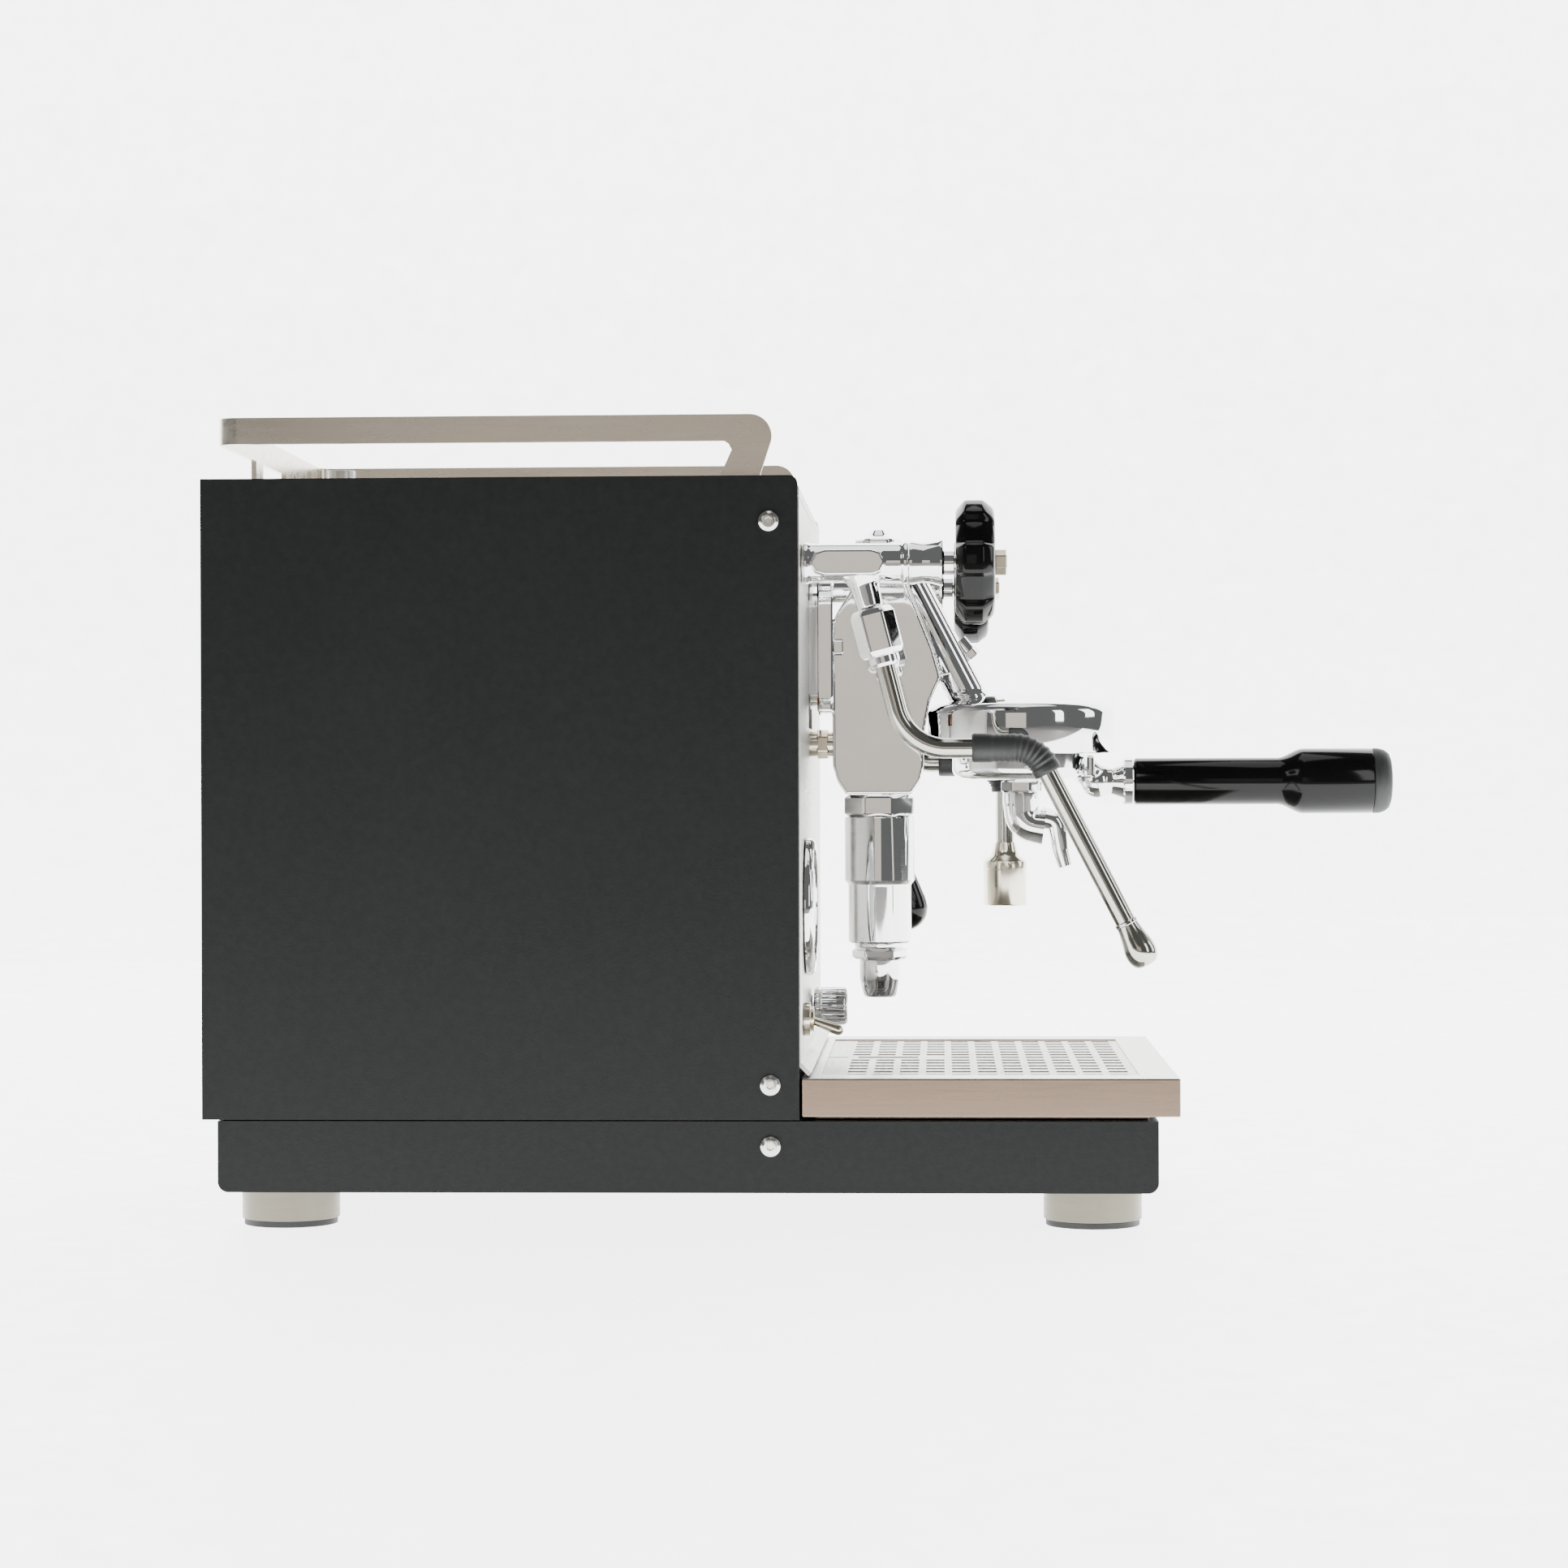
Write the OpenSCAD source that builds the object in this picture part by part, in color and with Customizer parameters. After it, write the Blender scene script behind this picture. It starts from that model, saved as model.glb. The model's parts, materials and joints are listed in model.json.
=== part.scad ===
// Espresso machine with a levered brew group, two front valves and a lift-out water tank.
// Millimetres. Front is -Y, the user's right is +X, and the feet stand on z = 0.

/* [Cabinet] */
// Width over the two side panels
body_w = 280; // [250:1:320]
// Front edge of the side panels
body_front = 5.5; // [4:0.5:12]
// Rear edge of the side panels
body_back = 284.4; // [275:1:320]
// Lower edge of the side panels
panel_low = 51.5; // [51.2:0.1:53]
// Upper edge of the side panels
panel_top = 350.3; // [345:1:390]
// Sheet thickness of the cabinet
sheet = 2; // [1.5:0.1:2.4]

/* [Base] */
// Width of the base pan
base_w = 277; // [247:1:278]
// Front wall of the base pan
base_front = -160.4; // [-175:1:-150]
// Rear wall of the base pan
base_back = 277.4; // [268:1:281]
// Top of the base pan above the table
base_top = 50.8; // [49:0.1:50.9]
// Height of the feet, which is the underside of the base pan
foot_h = 17.5; // [12:0.5:24]
// Diameter of a foot
foot_d = 46; // [36:1:52]
// Spacing of the feet across the machine
foot_span_x = 219; // [190:1:222]

/* [Drip tray] */
// Front face of the drip tray
tray_front = -170.4; // [-190:1:-162]
// Top edge of the drip tray
tray_top = 70.8; // [66:0.2:72]
// Wall of the drip tray
tray_wall = 1.5; // [1:0.1:2.5]
// Openings of the grate along the tray
grate_cols = 11; // [7:1:11]
// Openings of the grate across the tray
grate_rows = 13; // [9:2:13]

/* [Group] */
// Distance of the brew axis in front of the origin
brew_y = -100.6; // [-104:0.2:-100]
// Distance of the upright body's axis in front of the origin
upright_y = -29.6; // [-31:0.2:-29]
// Outer diameter of the bell
bell_d = 93.3; // [90:0.1:96]
// Nominal size of the portafilter
basket_d = 58; // [56:0.5:58.5]
// Diameter of the portafilter bowl
bowl_d = 69; // [67:0.1:69.6]
// Height of the brew group's lower edge
bell_low = 221.9; // [220:0.1:224]

/* [Valves and wands] */
// Distance of each valve from the centre line
valve_x = 112; // [108:0.5:114]
// Height of the valve axes
valve_z = 311; // [305:0.5:315]
// Diameter of a valve knob
star_d = 60.3; // [50:0.1:64]
// Diameter of the wand tubes
wand_d = 9.6; // [8:0.1:10]
// Forward tilt of the wand joints
leg_tilt = 14.4; // [14:0.1:15]

/* [Controls] */
// Distance of the gauge left of the centre line
gauge_x = -75; // [-85:1:-70]
// Height of the gauge
gauge_z = 148.3; // [144:0.1:160]
// Diameter of the gauge bezel
gauge_d = 66; // [50:1:70]
// Distance of the power switch left of the centre line
switch_x = -100; // [-110:1:-90]
// Height of the power switch and the selector
control_z = 95.8; // [94:0.1:98]
// Diameter of the selector knob
selector_d = 19; // [16:0.5:24]

/* [Boiler and tank] */
// Outer diameter of the boiler
boiler_d = 110; // [90:1:116]
// Height of the boiler axis
boiler_z = 245; // [240:1:247]
// Width of the water tank
tank_w = 190; // [150:1:210]
// Depth of the water tank
tank_depth = 62; // [50:1:64]
// Wall of the water tank
tank_wall = 2.5; // [2:0.1:4]

/* [Fits] */
// Radial clearance of a turning fit
run_gap = 0.05; // [0.02:0.01:0.1]
// Gap between neighbouring pieces
gap = 0.3; // [0.2:0.05:0.4]

/* [Hidden] */
$fn = 64;

side_x = body_w / 2;
inner_x = side_x - sheet - gap;
deck_top = panel_top - 2.3;
panel_face = body_front - 0.6;
panel_z0 = 77.9;
panel_z1 = panel_top - 10;
pan_x = base_w / 2;
pan_floor = foot_h + sheet;
edge_r = 4;
screw_d = 9.5;
screw_y = 19;
screw_z = [panel_top - 21.3, 67.7, 39.2];
foot_y = [base_front + 29.4, base_back - 29.3];
rail_t = 2.5;
rail_x = side_x - 4.3;
rail_back = base_back + 0.4;
rail_z1 = panel_top + 28.9;
rail_h = 12.4;
rail_r = 10;
nose_r = 10.3;
nose_y = 27.9;
rail_leg_x = 40;
tray_x = side_x;
tray_back = body_front - 1.1;
tray_z0 = 52.9;
tray_floor = base_top + gap;
grate_x = side_x - 23;
grate_front = tray_front + 17.7;
grate_back = tray_back - 8;
grate_t = 1.5;
grate_z = tray_top - 0.8 - grate_t;
boiler_y0 = 40;
boiler_y1 = 186;
dome = 12;
tank_y1 = base_back - 5;
tank_y0 = tank_y1 - tank_depth;
tank_z0 = 125;
tank_z1 = deck_top - sheet - 6;
flange_z0 = 241;
flange_z1 = 309.2;
bell_top = bell_low + 24.9;
bowl_z0 = bell_low - 13;
handle_z = bell_low - 13.9;
cam_z = 223.9;
cam_d = 13;
chamber_z1 = 201.8;
lever_x = 60;
star_t = 18.5;
valve_end = -61.8;
gland_end = valve_end - 5.8;
stem_d = 7;
joint_y = -27.6;
joint_z = valve_z - 21.5;
nut_len = 23;
wand_r = wand_d / 2;
ball_d = 12;
ball_h = 7;
weld_h = 0.8;
weld_d = 0.08;
cheek_left = -19;
cheek_right = 21;
bulb_d = 44.2;
bulb_y = upright_y + 0.8;
thermo_z = [cam_z + 3.2, 275];
mouth_d = bowl_d + 2 * gap + 1.2;
groove_d = mouth_d + 11;
groove_z = [bell_low + 3.4, bell_low + 11.6];
lug_z = [groove_z[0] + gap, groove_z[1] - 1.2];
rim_z = lug_z[1];

// A box from its lowest corner to its highest corner
module box(lo, hi) {
  translate(lo) cube(hi - lo);
}

// A cylinder along +Y or, with a negative length, along -Y
module rod_y(d, len) {
  rotate([len > 0 ? -90 : 90, 0, 0]) cylinder(d = d, h = abs(len));
}

// A cylinder along +X from the point it is moved to
module rod_x(d, len) {
  rotate([0, 90, 0]) cylinder(d = d, h = len);
}

// Children drawn at both valves, the second one mirrored
module both_sides() {
  for (side = [-1, 1]) translate([side * valve_x, 0, 0]) children();
}

// A profile in the Y-Z plane, extruded across the machine between two places on X
module across(x0, x1) {
  translate([x0, 0, 0]) rotate([90, 0, 90]) linear_extrude(height = x1 - x0) children();
}

module round_corner_rect(lo, hi, r) {
  hull() for (x = [lo[0] + r, hi[0] - r], y = [lo[1] + r, hi[1] - r]) translate([x, y]) circle(r);
}

module foot_places() {
  for (x = [-foot_span_x / 2, foot_span_x / 2], y = foot_y) translate([x, y, 0]) children();
}

module base_frame() {
  color("#1f2223") difference() {
    union() {
      difference() {
        across(-pan_x, pan_x) round_corner_rect([base_front, foot_h], [base_back, base_top + 6], 5);
        across(-pan_x + sheet, pan_x - sheet)
          round_corner_rect([base_front + sheet, pan_floor], [base_back - sheet, base_top + 12], 5 - sheet);
        box([-pan_x - 1, base_front - 1, base_top], [pan_x + 1, base_back + 1, base_top + 14]);
      }
      box([-pan_x + sheet / 2, base_front + sheet / 2, base_top - sheet],
        [pan_x - sheet / 2, panel_face, base_top]);
    }
    foot_places() translate([0, 0, foot_h - 1]) cylinder(d = 6.2, h = sheet + 2);
    for (x = [-60 : 20 : 60]) box([x - 4, 60, foot_h - 1], [x + 4, 120, pan_floor + 1]);
    for (s = [-1, 1]) translate([s > 0 ? pan_x - sheet - 1 : -pan_x - 1, screw_y, screw_z[2]])
      rod_x(4.2, sheet + 2);
  }
}

module base_cover() {
  color("#1a1a1a") difference() {
    across(-70, 70) round_corner_rect([30, foot_h - 7], [135, foot_h - gap / 3], 3);
    for (x = [-60 : 20 : 60]) box([x - 4, 65, foot_h - 8], [x + 4, 115, foot_h + 1]);
  }
}

module feet() {
  color("#8a8578") foot_places() {
    translate([0, 0, 3]) cylinder(d = foot_d, h = foot_h - 3);
    cylinder(d = 20, h = 4);
    translate([0, 0, foot_h - 1]) cylinder(d = 6, h = 10);
    translate([0, 0, pan_floor]) cylinder(d = 11, h = 5, $fn = 6);
  }
}

module foot_soles() {
  color("#202020") foot_places() difference() {
    cylinder(d = foot_d - 2, h = 3);
    translate([0, 0, -1]) cylinder(d = 20, h = 5);
  }
}

module side_panel(s) {
  x0 = s > 0 ? side_x - sheet : -side_x;
  color("#26292a") difference() {
    across(x0, x0 + sheet) union() {
      translate([body_front, panel_low]) square([body_back - body_front, panel_top - panel_low - edge_r]);
      translate([body_front + edge_r, panel_low])
        square([body_back - body_front - edge_r, panel_top - panel_low]);
      translate([body_front + edge_r, panel_top - edge_r]) circle(edge_r);
    }
    for (i = [0, 1]) translate([x0 - 1, screw_y, screw_z[i]]) rod_x(4.2, sheet + 2);
  }
}

module side_panel_left() { side_panel(-1); }

module side_panel_right() { side_panel(1); }

// Button heads with a hex socket: two in each side panel and one in each side of the base
module panel_screws() {
  head_x = [side_x, side_x, pan_x];
  color("#c8c8c4") for (s = [-1, 1], i = [0, 1, 2])
    translate([s * head_x[i], screw_y, screw_z[i]]) rotate([0, s * 90, 0]) difference() {
      union() {
        cylinder(d = screw_d, h = 1.2);
        translate([0, 0, 1.2]) cylinder(d1 = screw_d, d2 = screw_d - 3.4, h = 1.3);
        translate([0, 0, -6]) cylinder(d = 4, h = 6.1);
      }
      translate([0, 0, 0.9]) cylinder(d = 3.5, h = 3, $fn = 6);
    }
}

module front_panel() {
  color("#c9c9c6") difference() {
    across(-inner_x, inner_x) polygon([
      [panel_face, panel_z1], [panel_face, panel_z0], [panel_face - 4.9, panel_z0 - 4.9],
      [panel_face - 3.5, panel_z0 - 6.3], [panel_face + 2.5, panel_z0 - 0.3],
      [panel_face + 2.5, tray_z0 - 1.6], [panel_face + 4.5, tray_z0 - 1.6],
      [panel_face + 4.5, panel_z0 + 2],
      [panel_face + 2, panel_z0 + 4], [panel_face + 2, panel_z1]
    ]);
    translate([gauge_x, panel_face - 1, gauge_z]) rod_y(gauge_d - 6, 5);
    translate([switch_x, panel_face - 1, control_z]) rod_y(12.2, 5);
    translate([0, panel_face - 1, control_z]) rod_y(8.2, 5);
    both_sides() translate([0, panel_face - 1, valve_z]) rod_y(14.4, 5);
    box([-24.3, panel_face - 1, flange_z0 - 6], [24.3, panel_face + 4, flange_z1 + 3]);
    translate([0, panel_face - 1, cam_z + 3.2]) rod_y(13.6, 5);
  }
}

module rear_panel() {
  color("#3a3d3e") difference() {
    box([-inner_x, base_back - sheet - gap, base_top + gap],
      [inner_x, base_back - gap, deck_top - sheet - gap]);
    for (z = [190 : 12 : 310]) box([-70, base_back - 9, z], [70, base_back + 1, z + 4]);
    box([80, base_back - 9, 70], [108, base_back + 1, 92]);
  }
}

module top_deck() {
  color("#c9c9c6") difference() {
    union() {
      box([-inner_x, panel_face + 2, deck_top - sheet], [inner_x, base_back, deck_top]);
      box([-inner_x, panel_face, panel_z1 + gap], [inner_x, panel_face + 2, deck_top]);
    }
    across(-inner_x - 1, inner_x + 1) difference() {
      translate([panel_face - 1, deck_top - edge_r]) square(edge_r + 1);
      translate([panel_face + edge_r, deck_top - edge_r]) circle(edge_r);
    }
    box([-tank_w / 2 - 3, tank_y0 - 3, deck_top - 9], [tank_w / 2 + 3, tank_y1 + 3, deck_top + 1]);
    for (y = [60 : 18 : 186], x = [-96 : 32 : 96])
      box([x - 10, y, deck_top - 9], [x + 10, y + 4, deck_top + 1]);
  }
}

module rail_side_profile() {
  slant = 0.46;
  foot_z = deck_top;
  stem_back = 35.8 + (363.2 - 348) * slant;
  translate([nose_y, rail_z1 - rail_h]) square([rail_back - rail_r - nose_y, rail_h]);
  translate([nose_y, rail_z1 - nose_r]) circle(nose_r);
  polygon([
    [nose_y - nose_r * 0.91, rail_z1 - nose_r * 1.42], [22 + (rail_z1 - 27 - foot_z) * slant, foot_z],
    [stem_back, foot_z], [35.6, rail_z1 - rail_h - 2.8], [39.6, rail_z1 - rail_h], [39, rail_z1 - 4],
    [nose_y, rail_z1 - 4]
  ]);
}

// Flat bar bent round the back of the cup deck, on a leaning stem at each front end
module cup_rail() {
  color("#a89c8a") {
    across(-rail_x, -rail_x + rail_t) rail_side_profile();
    across(rail_x - rail_t, rail_x) rail_side_profile();
    for (s = [-1, 1]) translate([s * (rail_x - rail_r), rail_back - rail_r, rail_z1 - rail_h])
      rotate([0, 0, s > 0 ? 0 : 90]) rotate_extrude(angle = 90)
        translate([rail_r - rail_t, 0]) square([rail_t, rail_h]);
    box([-rail_x + rail_r, rail_back - rail_t, rail_z1 - rail_h], [rail_x - rail_r, rail_back, rail_z1]);
    for (s = [-1, 1])
      box([s * rail_leg_x - 9, rail_back - rail_t, deck_top], [s * rail_leg_x + 9, rail_back, rail_z1 - 1]);
  }
}

module power_inlet() {
  color("#151515") difference() {
    union() {
      box([80.2, base_back - 25, 70.2], [107.8, base_back - gap, 91.8]);
      box([78, base_back - gap, 68], [110, base_back + 2, 94]);
    }
    box([83, base_back - 20, 73], [105, base_back + 3, 89]);
  }
}

// A closed copper vessel lying along Y, with a stub for the group at its front
module boiler() {
  color("#b87a4b") translate([0, 0, boiler_z]) difference() {
    union() {
      translate([0, boiler_y0, 0]) rod_y(boiler_d, boiler_y1 - boiler_y0);
      translate([0, boiler_y0 - dome, 0]) rotate([-90, 0, 0])
        cylinder(d1 = boiler_d - 30, d2 = boiler_d, h = dome);
    }
    translate([0, boiler_y0, 0]) rod_y(boiler_d - 3, boiler_y1 - boiler_y0 + 1);
    translate([0, boiler_y0 - dome + 1.5, 0]) rotate([-90, 0, 0])
      cylinder(d1 = boiler_d - 33, d2 = boiler_d - 3, h = dome - 1.4);
    for (x = [-20, 20]) translate([x, 100, 0]) cylinder(d = 8.2, h = boiler_d);
    for (z = thermo_z) translate([0, boiler_y0 - dome - 1, z - boiler_z]) rod_y(10.2, dome + 6);
  }
}

module boiler_element() {
  color("#b5b1a6") translate([0, boiler_y1 + gap / 3, boiler_z]) {
    rod_y(boiler_d, 5);
    for (a = [0 : 60 : 300]) rotate([0, a, 0]) translate([boiler_d / 2 - 7, 5, 0]) rod_y(8, 4);
    for (x = [-14, 14]) translate([x, 5, 0]) rod_y(9, 6);
    for (x = [-14, 14]) translate([x, 0, 0]) rod_y(8, -86);
    translate([0, -86, 0]) rotate([0, 0, 180]) rotate_extrude(angle = 180) translate([14, 0]) circle(4);
  }
}

module boiler_cradle() {
  saddle_z = boiler_z - boiler_d * 0.32;
  color("#7c8082") difference() {
    for (y = [62, 158]) {
      box([-42, y, pan_floor + gap / 3], [42, y + 3, saddle_z]);
      box([-42, y, pan_floor + gap / 3], [42, y + 16, pan_floor + 3]);
    }
    translate([0, 0, boiler_z]) rod_y(boiler_d + 0.2, 300);
    for (z = [60 : 40 : 160]) translate([0, 50, z]) rod_y(24, 130);
  }
}

// Safety valve and vacuum breaker on top of the boiler
module boiler_valves() {
  z0 = boiler_z + sqrt(pow(boiler_d / 2, 2) - pow(25, 2));
  color("#c9a24a") for (x = [-20, 20]) translate([x, 100, 0]) {
    translate([0, 0, boiler_z + boiler_d / 2 - 12]) cylinder(d = 8, h = 14);
    translate([0, 0, boiler_z + boiler_d / 2 + gap]) cylinder(d = 17, h = 8, $fn = 6);
    translate([0, 0, z0 + 13]) cylinder(d = x < 0 ? 14 : 10, h = x < 0 ? 22 : 14);
  }
}

module pump() {
  color("#8c2f2a") translate([-82, 0, 92]) {
    box([-20, 90, -22], [20, 140, 22]);
    translate([0, 141, 0]) rod_y(24, -90);
    translate([0, 140, 0]) rod_y(14, 28);
    translate([0, 52, 0]) rod_y(10, -14);
  }
}

module pump_mounts() {
  color("#222222") for (x = [-98, -66], y = [96, 134])
    translate([x, y, pan_floor + gap / 3]) cylinder(d = 9, h = 92 - 22 - pan_floor - gap * 2 / 3);
}

module control_box() {
  color("#2b2b2b") difference() {
    box([52, 120, pan_floor + gap / 3], [124, 200, 112]);
    box([54, 122, pan_floor + 3], [122, 198, 110]);
    translate([88, 119, 66]) rod_y(14, 4);
  }
}

module fill_valve() {
  color("#b9a36a") translate([62, 70, 0]) {
    box([-11, -11, pan_floor + gap / 3], [11, 11, 48]);
    translate([0, 0, 48]) cylinder(d = 9, h = 34);
    box([-13, -15, 52], [13, 15, 78]);
  }
}

// Two pipes between the boiler and the group's rear flange, for the thermosyphon
module thermosyphon_pipes() {
  start = body_front + 5.5;
  color("#b87a4b") for (z = thermo_z) translate([0, start, z]) {
    rod_y(9.8, boiler_y0 - dome - start + 4);
    translate([0, 4, 0]) rotate([-90, 0, 0]) cylinder(d = 18, h = 7, $fn = 6);
  }
}

// A pipe from each valve back to the boiler's flank
module valve_pipes() {
  run = 74;
  r = 18;
  color("#b87a4b") for (s = [-1, 1]) scale([s, 1, 1]) translate([valve_x, 0, valve_z]) {
    translate([0, panel_face + 11.2, 0]) rod_y(8, run);
    translate([-r, panel_face + 11.2 + run, 0]) rotate_extrude(angle = 90) translate([r, 0]) circle(4);
    translate([-r, panel_face + 11.2 + run + r, 0]) rotate([0, -90, 0]) cylinder(d = 8, h = 40);
    translate([-r - 40, panel_face + 11.2 + run + r, 0]) rotate([0, -90, 0])
      cylinder(d = 14, h = 8, $fn = 6);
  }
}

module water_tank() {
  color([0.75, 0.82, 0.85, 0.6]) difference() {
    union() {
      box([-tank_w / 2, tank_y0, tank_z0], [tank_w / 2, tank_y1, tank_z1]);
      box([-tank_w / 2 - 2, tank_y0 - 2, tank_z1 - 3], [tank_w / 2 + 2, tank_y1 + 2, tank_z1]);
    }
    box([-tank_w / 2 + tank_wall, tank_y0 + tank_wall, tank_z0 + tank_wall],
        [tank_w / 2 - tank_wall, tank_y1 - tank_wall, tank_z1 + 1]);
  }
}

module tank_lid() {
  color("#c9c9c6") {
    box([-tank_w / 2 - 2, tank_y0 - 2, deck_top - sheet], [tank_w / 2 + 2, tank_y1 + 2, deck_top]);
    translate([0, (tank_y0 + tank_y1) / 2, deck_top]) cylinder(d = 8, h = 6);
    translate([0, (tank_y0 + tank_y1) / 2, deck_top + 5]) cylinder(d = 14, h = 13);
  }
}

module gauge_case() {
  color("#cfcfcd") translate([gauge_x, 0, gauge_z]) difference() {
    union() {
      translate([0, panel_face + 24, 0]) rod_y(gauge_d - 7, -24.1);
      translate([0, panel_face - gap / 3, 0]) rod_y(gauge_d, -3.4);
      translate([0, panel_face - 3.4, 0]) rotate([90, 0, 0])
        cylinder(d1 = gauge_d, d2 = gauge_d - 6, h = 1.8);
    }
    translate([0, panel_face + 2, 0]) rod_y(gauge_d - 10, -10);
  }
}

module gauge_dial() {
  color("#f2f0ea") translate([gauge_x, panel_face + 1.8, gauge_z]) difference() {
    rod_y(gauge_d - 10.6, -0.8);
    translate([0, 1, 0]) rod_y(2 + 2 * run_gap, -3);
  }
}

module gauge_glass() {
  color([0.9, 0.95, 1, 0.3]) translate([gauge_x, panel_face - 3, gauge_z])
    rod_y(gauge_d - 10.6, -1.8);
}

module gauge_needle() {
  color("#c0201c") translate([gauge_x, panel_face, gauge_z]) {
    translate([0, 1.7, 0]) rod_y(2, -2.6);
    translate([0, -0.2, 0]) rod_y(6, -1);
    rotate([0, -135, 0]) box([-0.6, -0.9, -7], [0.6, -0.4, gauge_d / 2 - 9]);
  }
}

module switch_base() {
  color("#b8ae94") translate([switch_x, panel_face, control_z]) difference() {
    union() {
      translate([0, -gap / 3, 0]) rod_y(16, -3.2, $fn = 48);
      translate([0, 22, 0]) rod_y(11.8, -27);
      box([-7, 5, -11], [7, 26, 11]);
    }
    translate([0, -0.4, 0]) rod_y(9, -8);
    translate([0, 8, 0]) rod_y(5, -12);
  }
}

module switch_lever() {
  color("#c9bd9a") translate([switch_x, panel_face - 2.2, control_z]) {
    translate([-4, 0, 0]) rod_x(3, 8);
    rotate([90 + 20, 0, 0]) {
      cylinder(d1 = 2.8, d2 = 5, h = 15);
      translate([0, 0, 15]) sphere(d = 5.2);
    }
  }
}

module selector_base() {
  color("#9a9a98") translate([0, panel_face, control_z]) {
    translate([0, -gap / 3, 0]) rod_y(12, -0.9);
    translate([0, 18, 0]) rod_y(7.8, -19);
    translate([0, 18, 0]) rod_y(5 - 2 * run_gap, -27);
    box([-10, 4, -10], [10, 20, 10]);
  }
}

module selector_knob() {
  color("#d4d4d4") translate([0, panel_face - 1.5, control_z]) difference() {
    union() {
      rod_y(selector_d, -15.6);
      translate([0, -15.6, 0]) rotate([90, 0, 0]) cylinder(d1 = selector_d, d2 = selector_d - 3, h = 1.1);
    }
    translate([0, 1, 0]) rod_y(5, -9);
    for (a = [0 : 30 : 330]) rotate([0, a, 0]) translate([selector_d / 2 + 0.9, -3, 0]) rod_y(3, -16);
    box([-0.5, -18, selector_d / 2 - 4], [0.5, -14, selector_d / 2 + 1]);
  }
}

// Length of each straight and place of each bend of a tube that bends in the Y-Z plane
function heading(p, i) = atan2(p[i + 1][1] - p[i][1], p[i + 1][0] - p[i][0]);
function turn(p, i) = let (t = heading(p, i) - heading(p, i - 1)) t > 180 ? t - 360 : t < -180 ? t + 360 : t;
function along(p, i) = [cos(heading(p, i)), sin(heading(p, i))];
function set_back(p, r, i) = i == 0 || i == len(p) - 1 ? 0 : r[i] * tan(abs(turn(p, i)) / 2);

// Straights and bends joined by thin bands, so that they meet without a seam
module bent_rod(p, r, d) {
  rotate([90, 0, 90]) {
    for (i = [0 : len(p) - 2]) {
      start = p[i] + along(p, i) * set_back(p, r, i);
      span = norm(p[i + 1] - p[i]) - set_back(p, r, i) - set_back(p, r, i + 1);
      translate([start[0], start[1], 0]) rotate([0, 0, heading(p, i)]) rotate([0, 90, 0]) {
        cylinder(d = d, h = span);
        if (i > 0) translate([0, 0, -weld_h / 2]) cylinder(d = d + weld_d, h = weld_h);
        if (i < len(p) - 2) translate([0, 0, span - weld_h / 2]) cylinder(d = d + weld_d, h = weld_h);
      }
    }
    for (i = [1 : 1 : len(p) - 2]) {
      side = sign(turn(p, i));
      a = heading(p, i - 1);
      c = p[i] - along(p, i - 1) * set_back(p, r, i) + r[i] * [cos(a + 90 * side), sin(a + 90 * side)];
      translate([c[0], c[1], 0]) rotate([0, 0, side > 0 ? a - 90 : a + 90 - abs(turn(p, i))])
        rotate_extrude(angle = abs(turn(p, i))) translate([r[i], 0]) circle(d = d);
    }
  }
}

// A bent rod with a bore that runs out at both ends
module bent_tube(p, r, d, bore) {
  last = len(p) - 1;
  q = [for (i = [0 : last]) i == 0 ? p[0] - along(p, 0) : i == last ? p[last] + along(p, last - 1) : p[i]];
  difference() {
    bent_rod(p, r, d);
    bent_rod(q, r, bore);
  }
}

// Places a child in the frame of a wand joint, with -Z down the joint's leaning axis
module at_joint(s) {
  translate([s * valve_x, joint_y, joint_z]) rotate([-leg_tilt, 0, 0]) children();
}

module valve_body(s) {
  color("#d8d8d8") difference() {
    union() {
      translate([s * valve_x, 0, valve_z]) {
        translate([0, panel_face + 10, 0]) rod_y(14, -12);
        translate([0, panel_face - gap, 0]) rod_y(20, -50);
        translate([0, panel_face - 50, 0]) rotate([90, 0, 0])
          cylinder(d1 = 20, d2 = 22.6, h = -valve_end - 50 + panel_face);
        translate([0, valve_end, 0]) rod_y(11.4, gland_end - valve_end + gap);
        for (y = [-28, -10]) translate([s * 8 - 3, y, 0]) rod_x(11, 6);
        box([s * 8 - 3, -28, -5.5], [s * 8 + 3, -10, 5.5]);
      }
      at_joint(s) translate([0, 0, gap / 3]) cylinder(d = 12.6, h = 18);
      at_joint(s) translate([0, 0, -6]) cylinder(d = 8, h = 8);
    }
    translate([s * valve_x, gland_end - 1, valve_z]) rod_y(stem_d + 2 * run_gap, 40);
    translate([s * valve_x, -26, valve_z]) rod_y(6, 60);
    at_joint(s) translate([0, 0, -7]) cylinder(d = 5, h = 20);
  }
}

module valve_stem(s) {
  color("#a8a294") translate([s * valve_x, 0, valve_z]) {
    translate([0, gland_end + 35, 0]) rod_y(stem_d, -35 - star_t + 4.2);
    translate([0, gland_end - star_t - gap / 3, 0]) rod_y(11.5, -5.6, $fn = 6);
    translate([0, gland_end - star_t + 5, 0]) rod_y(5, -6);
  }
}

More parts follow.
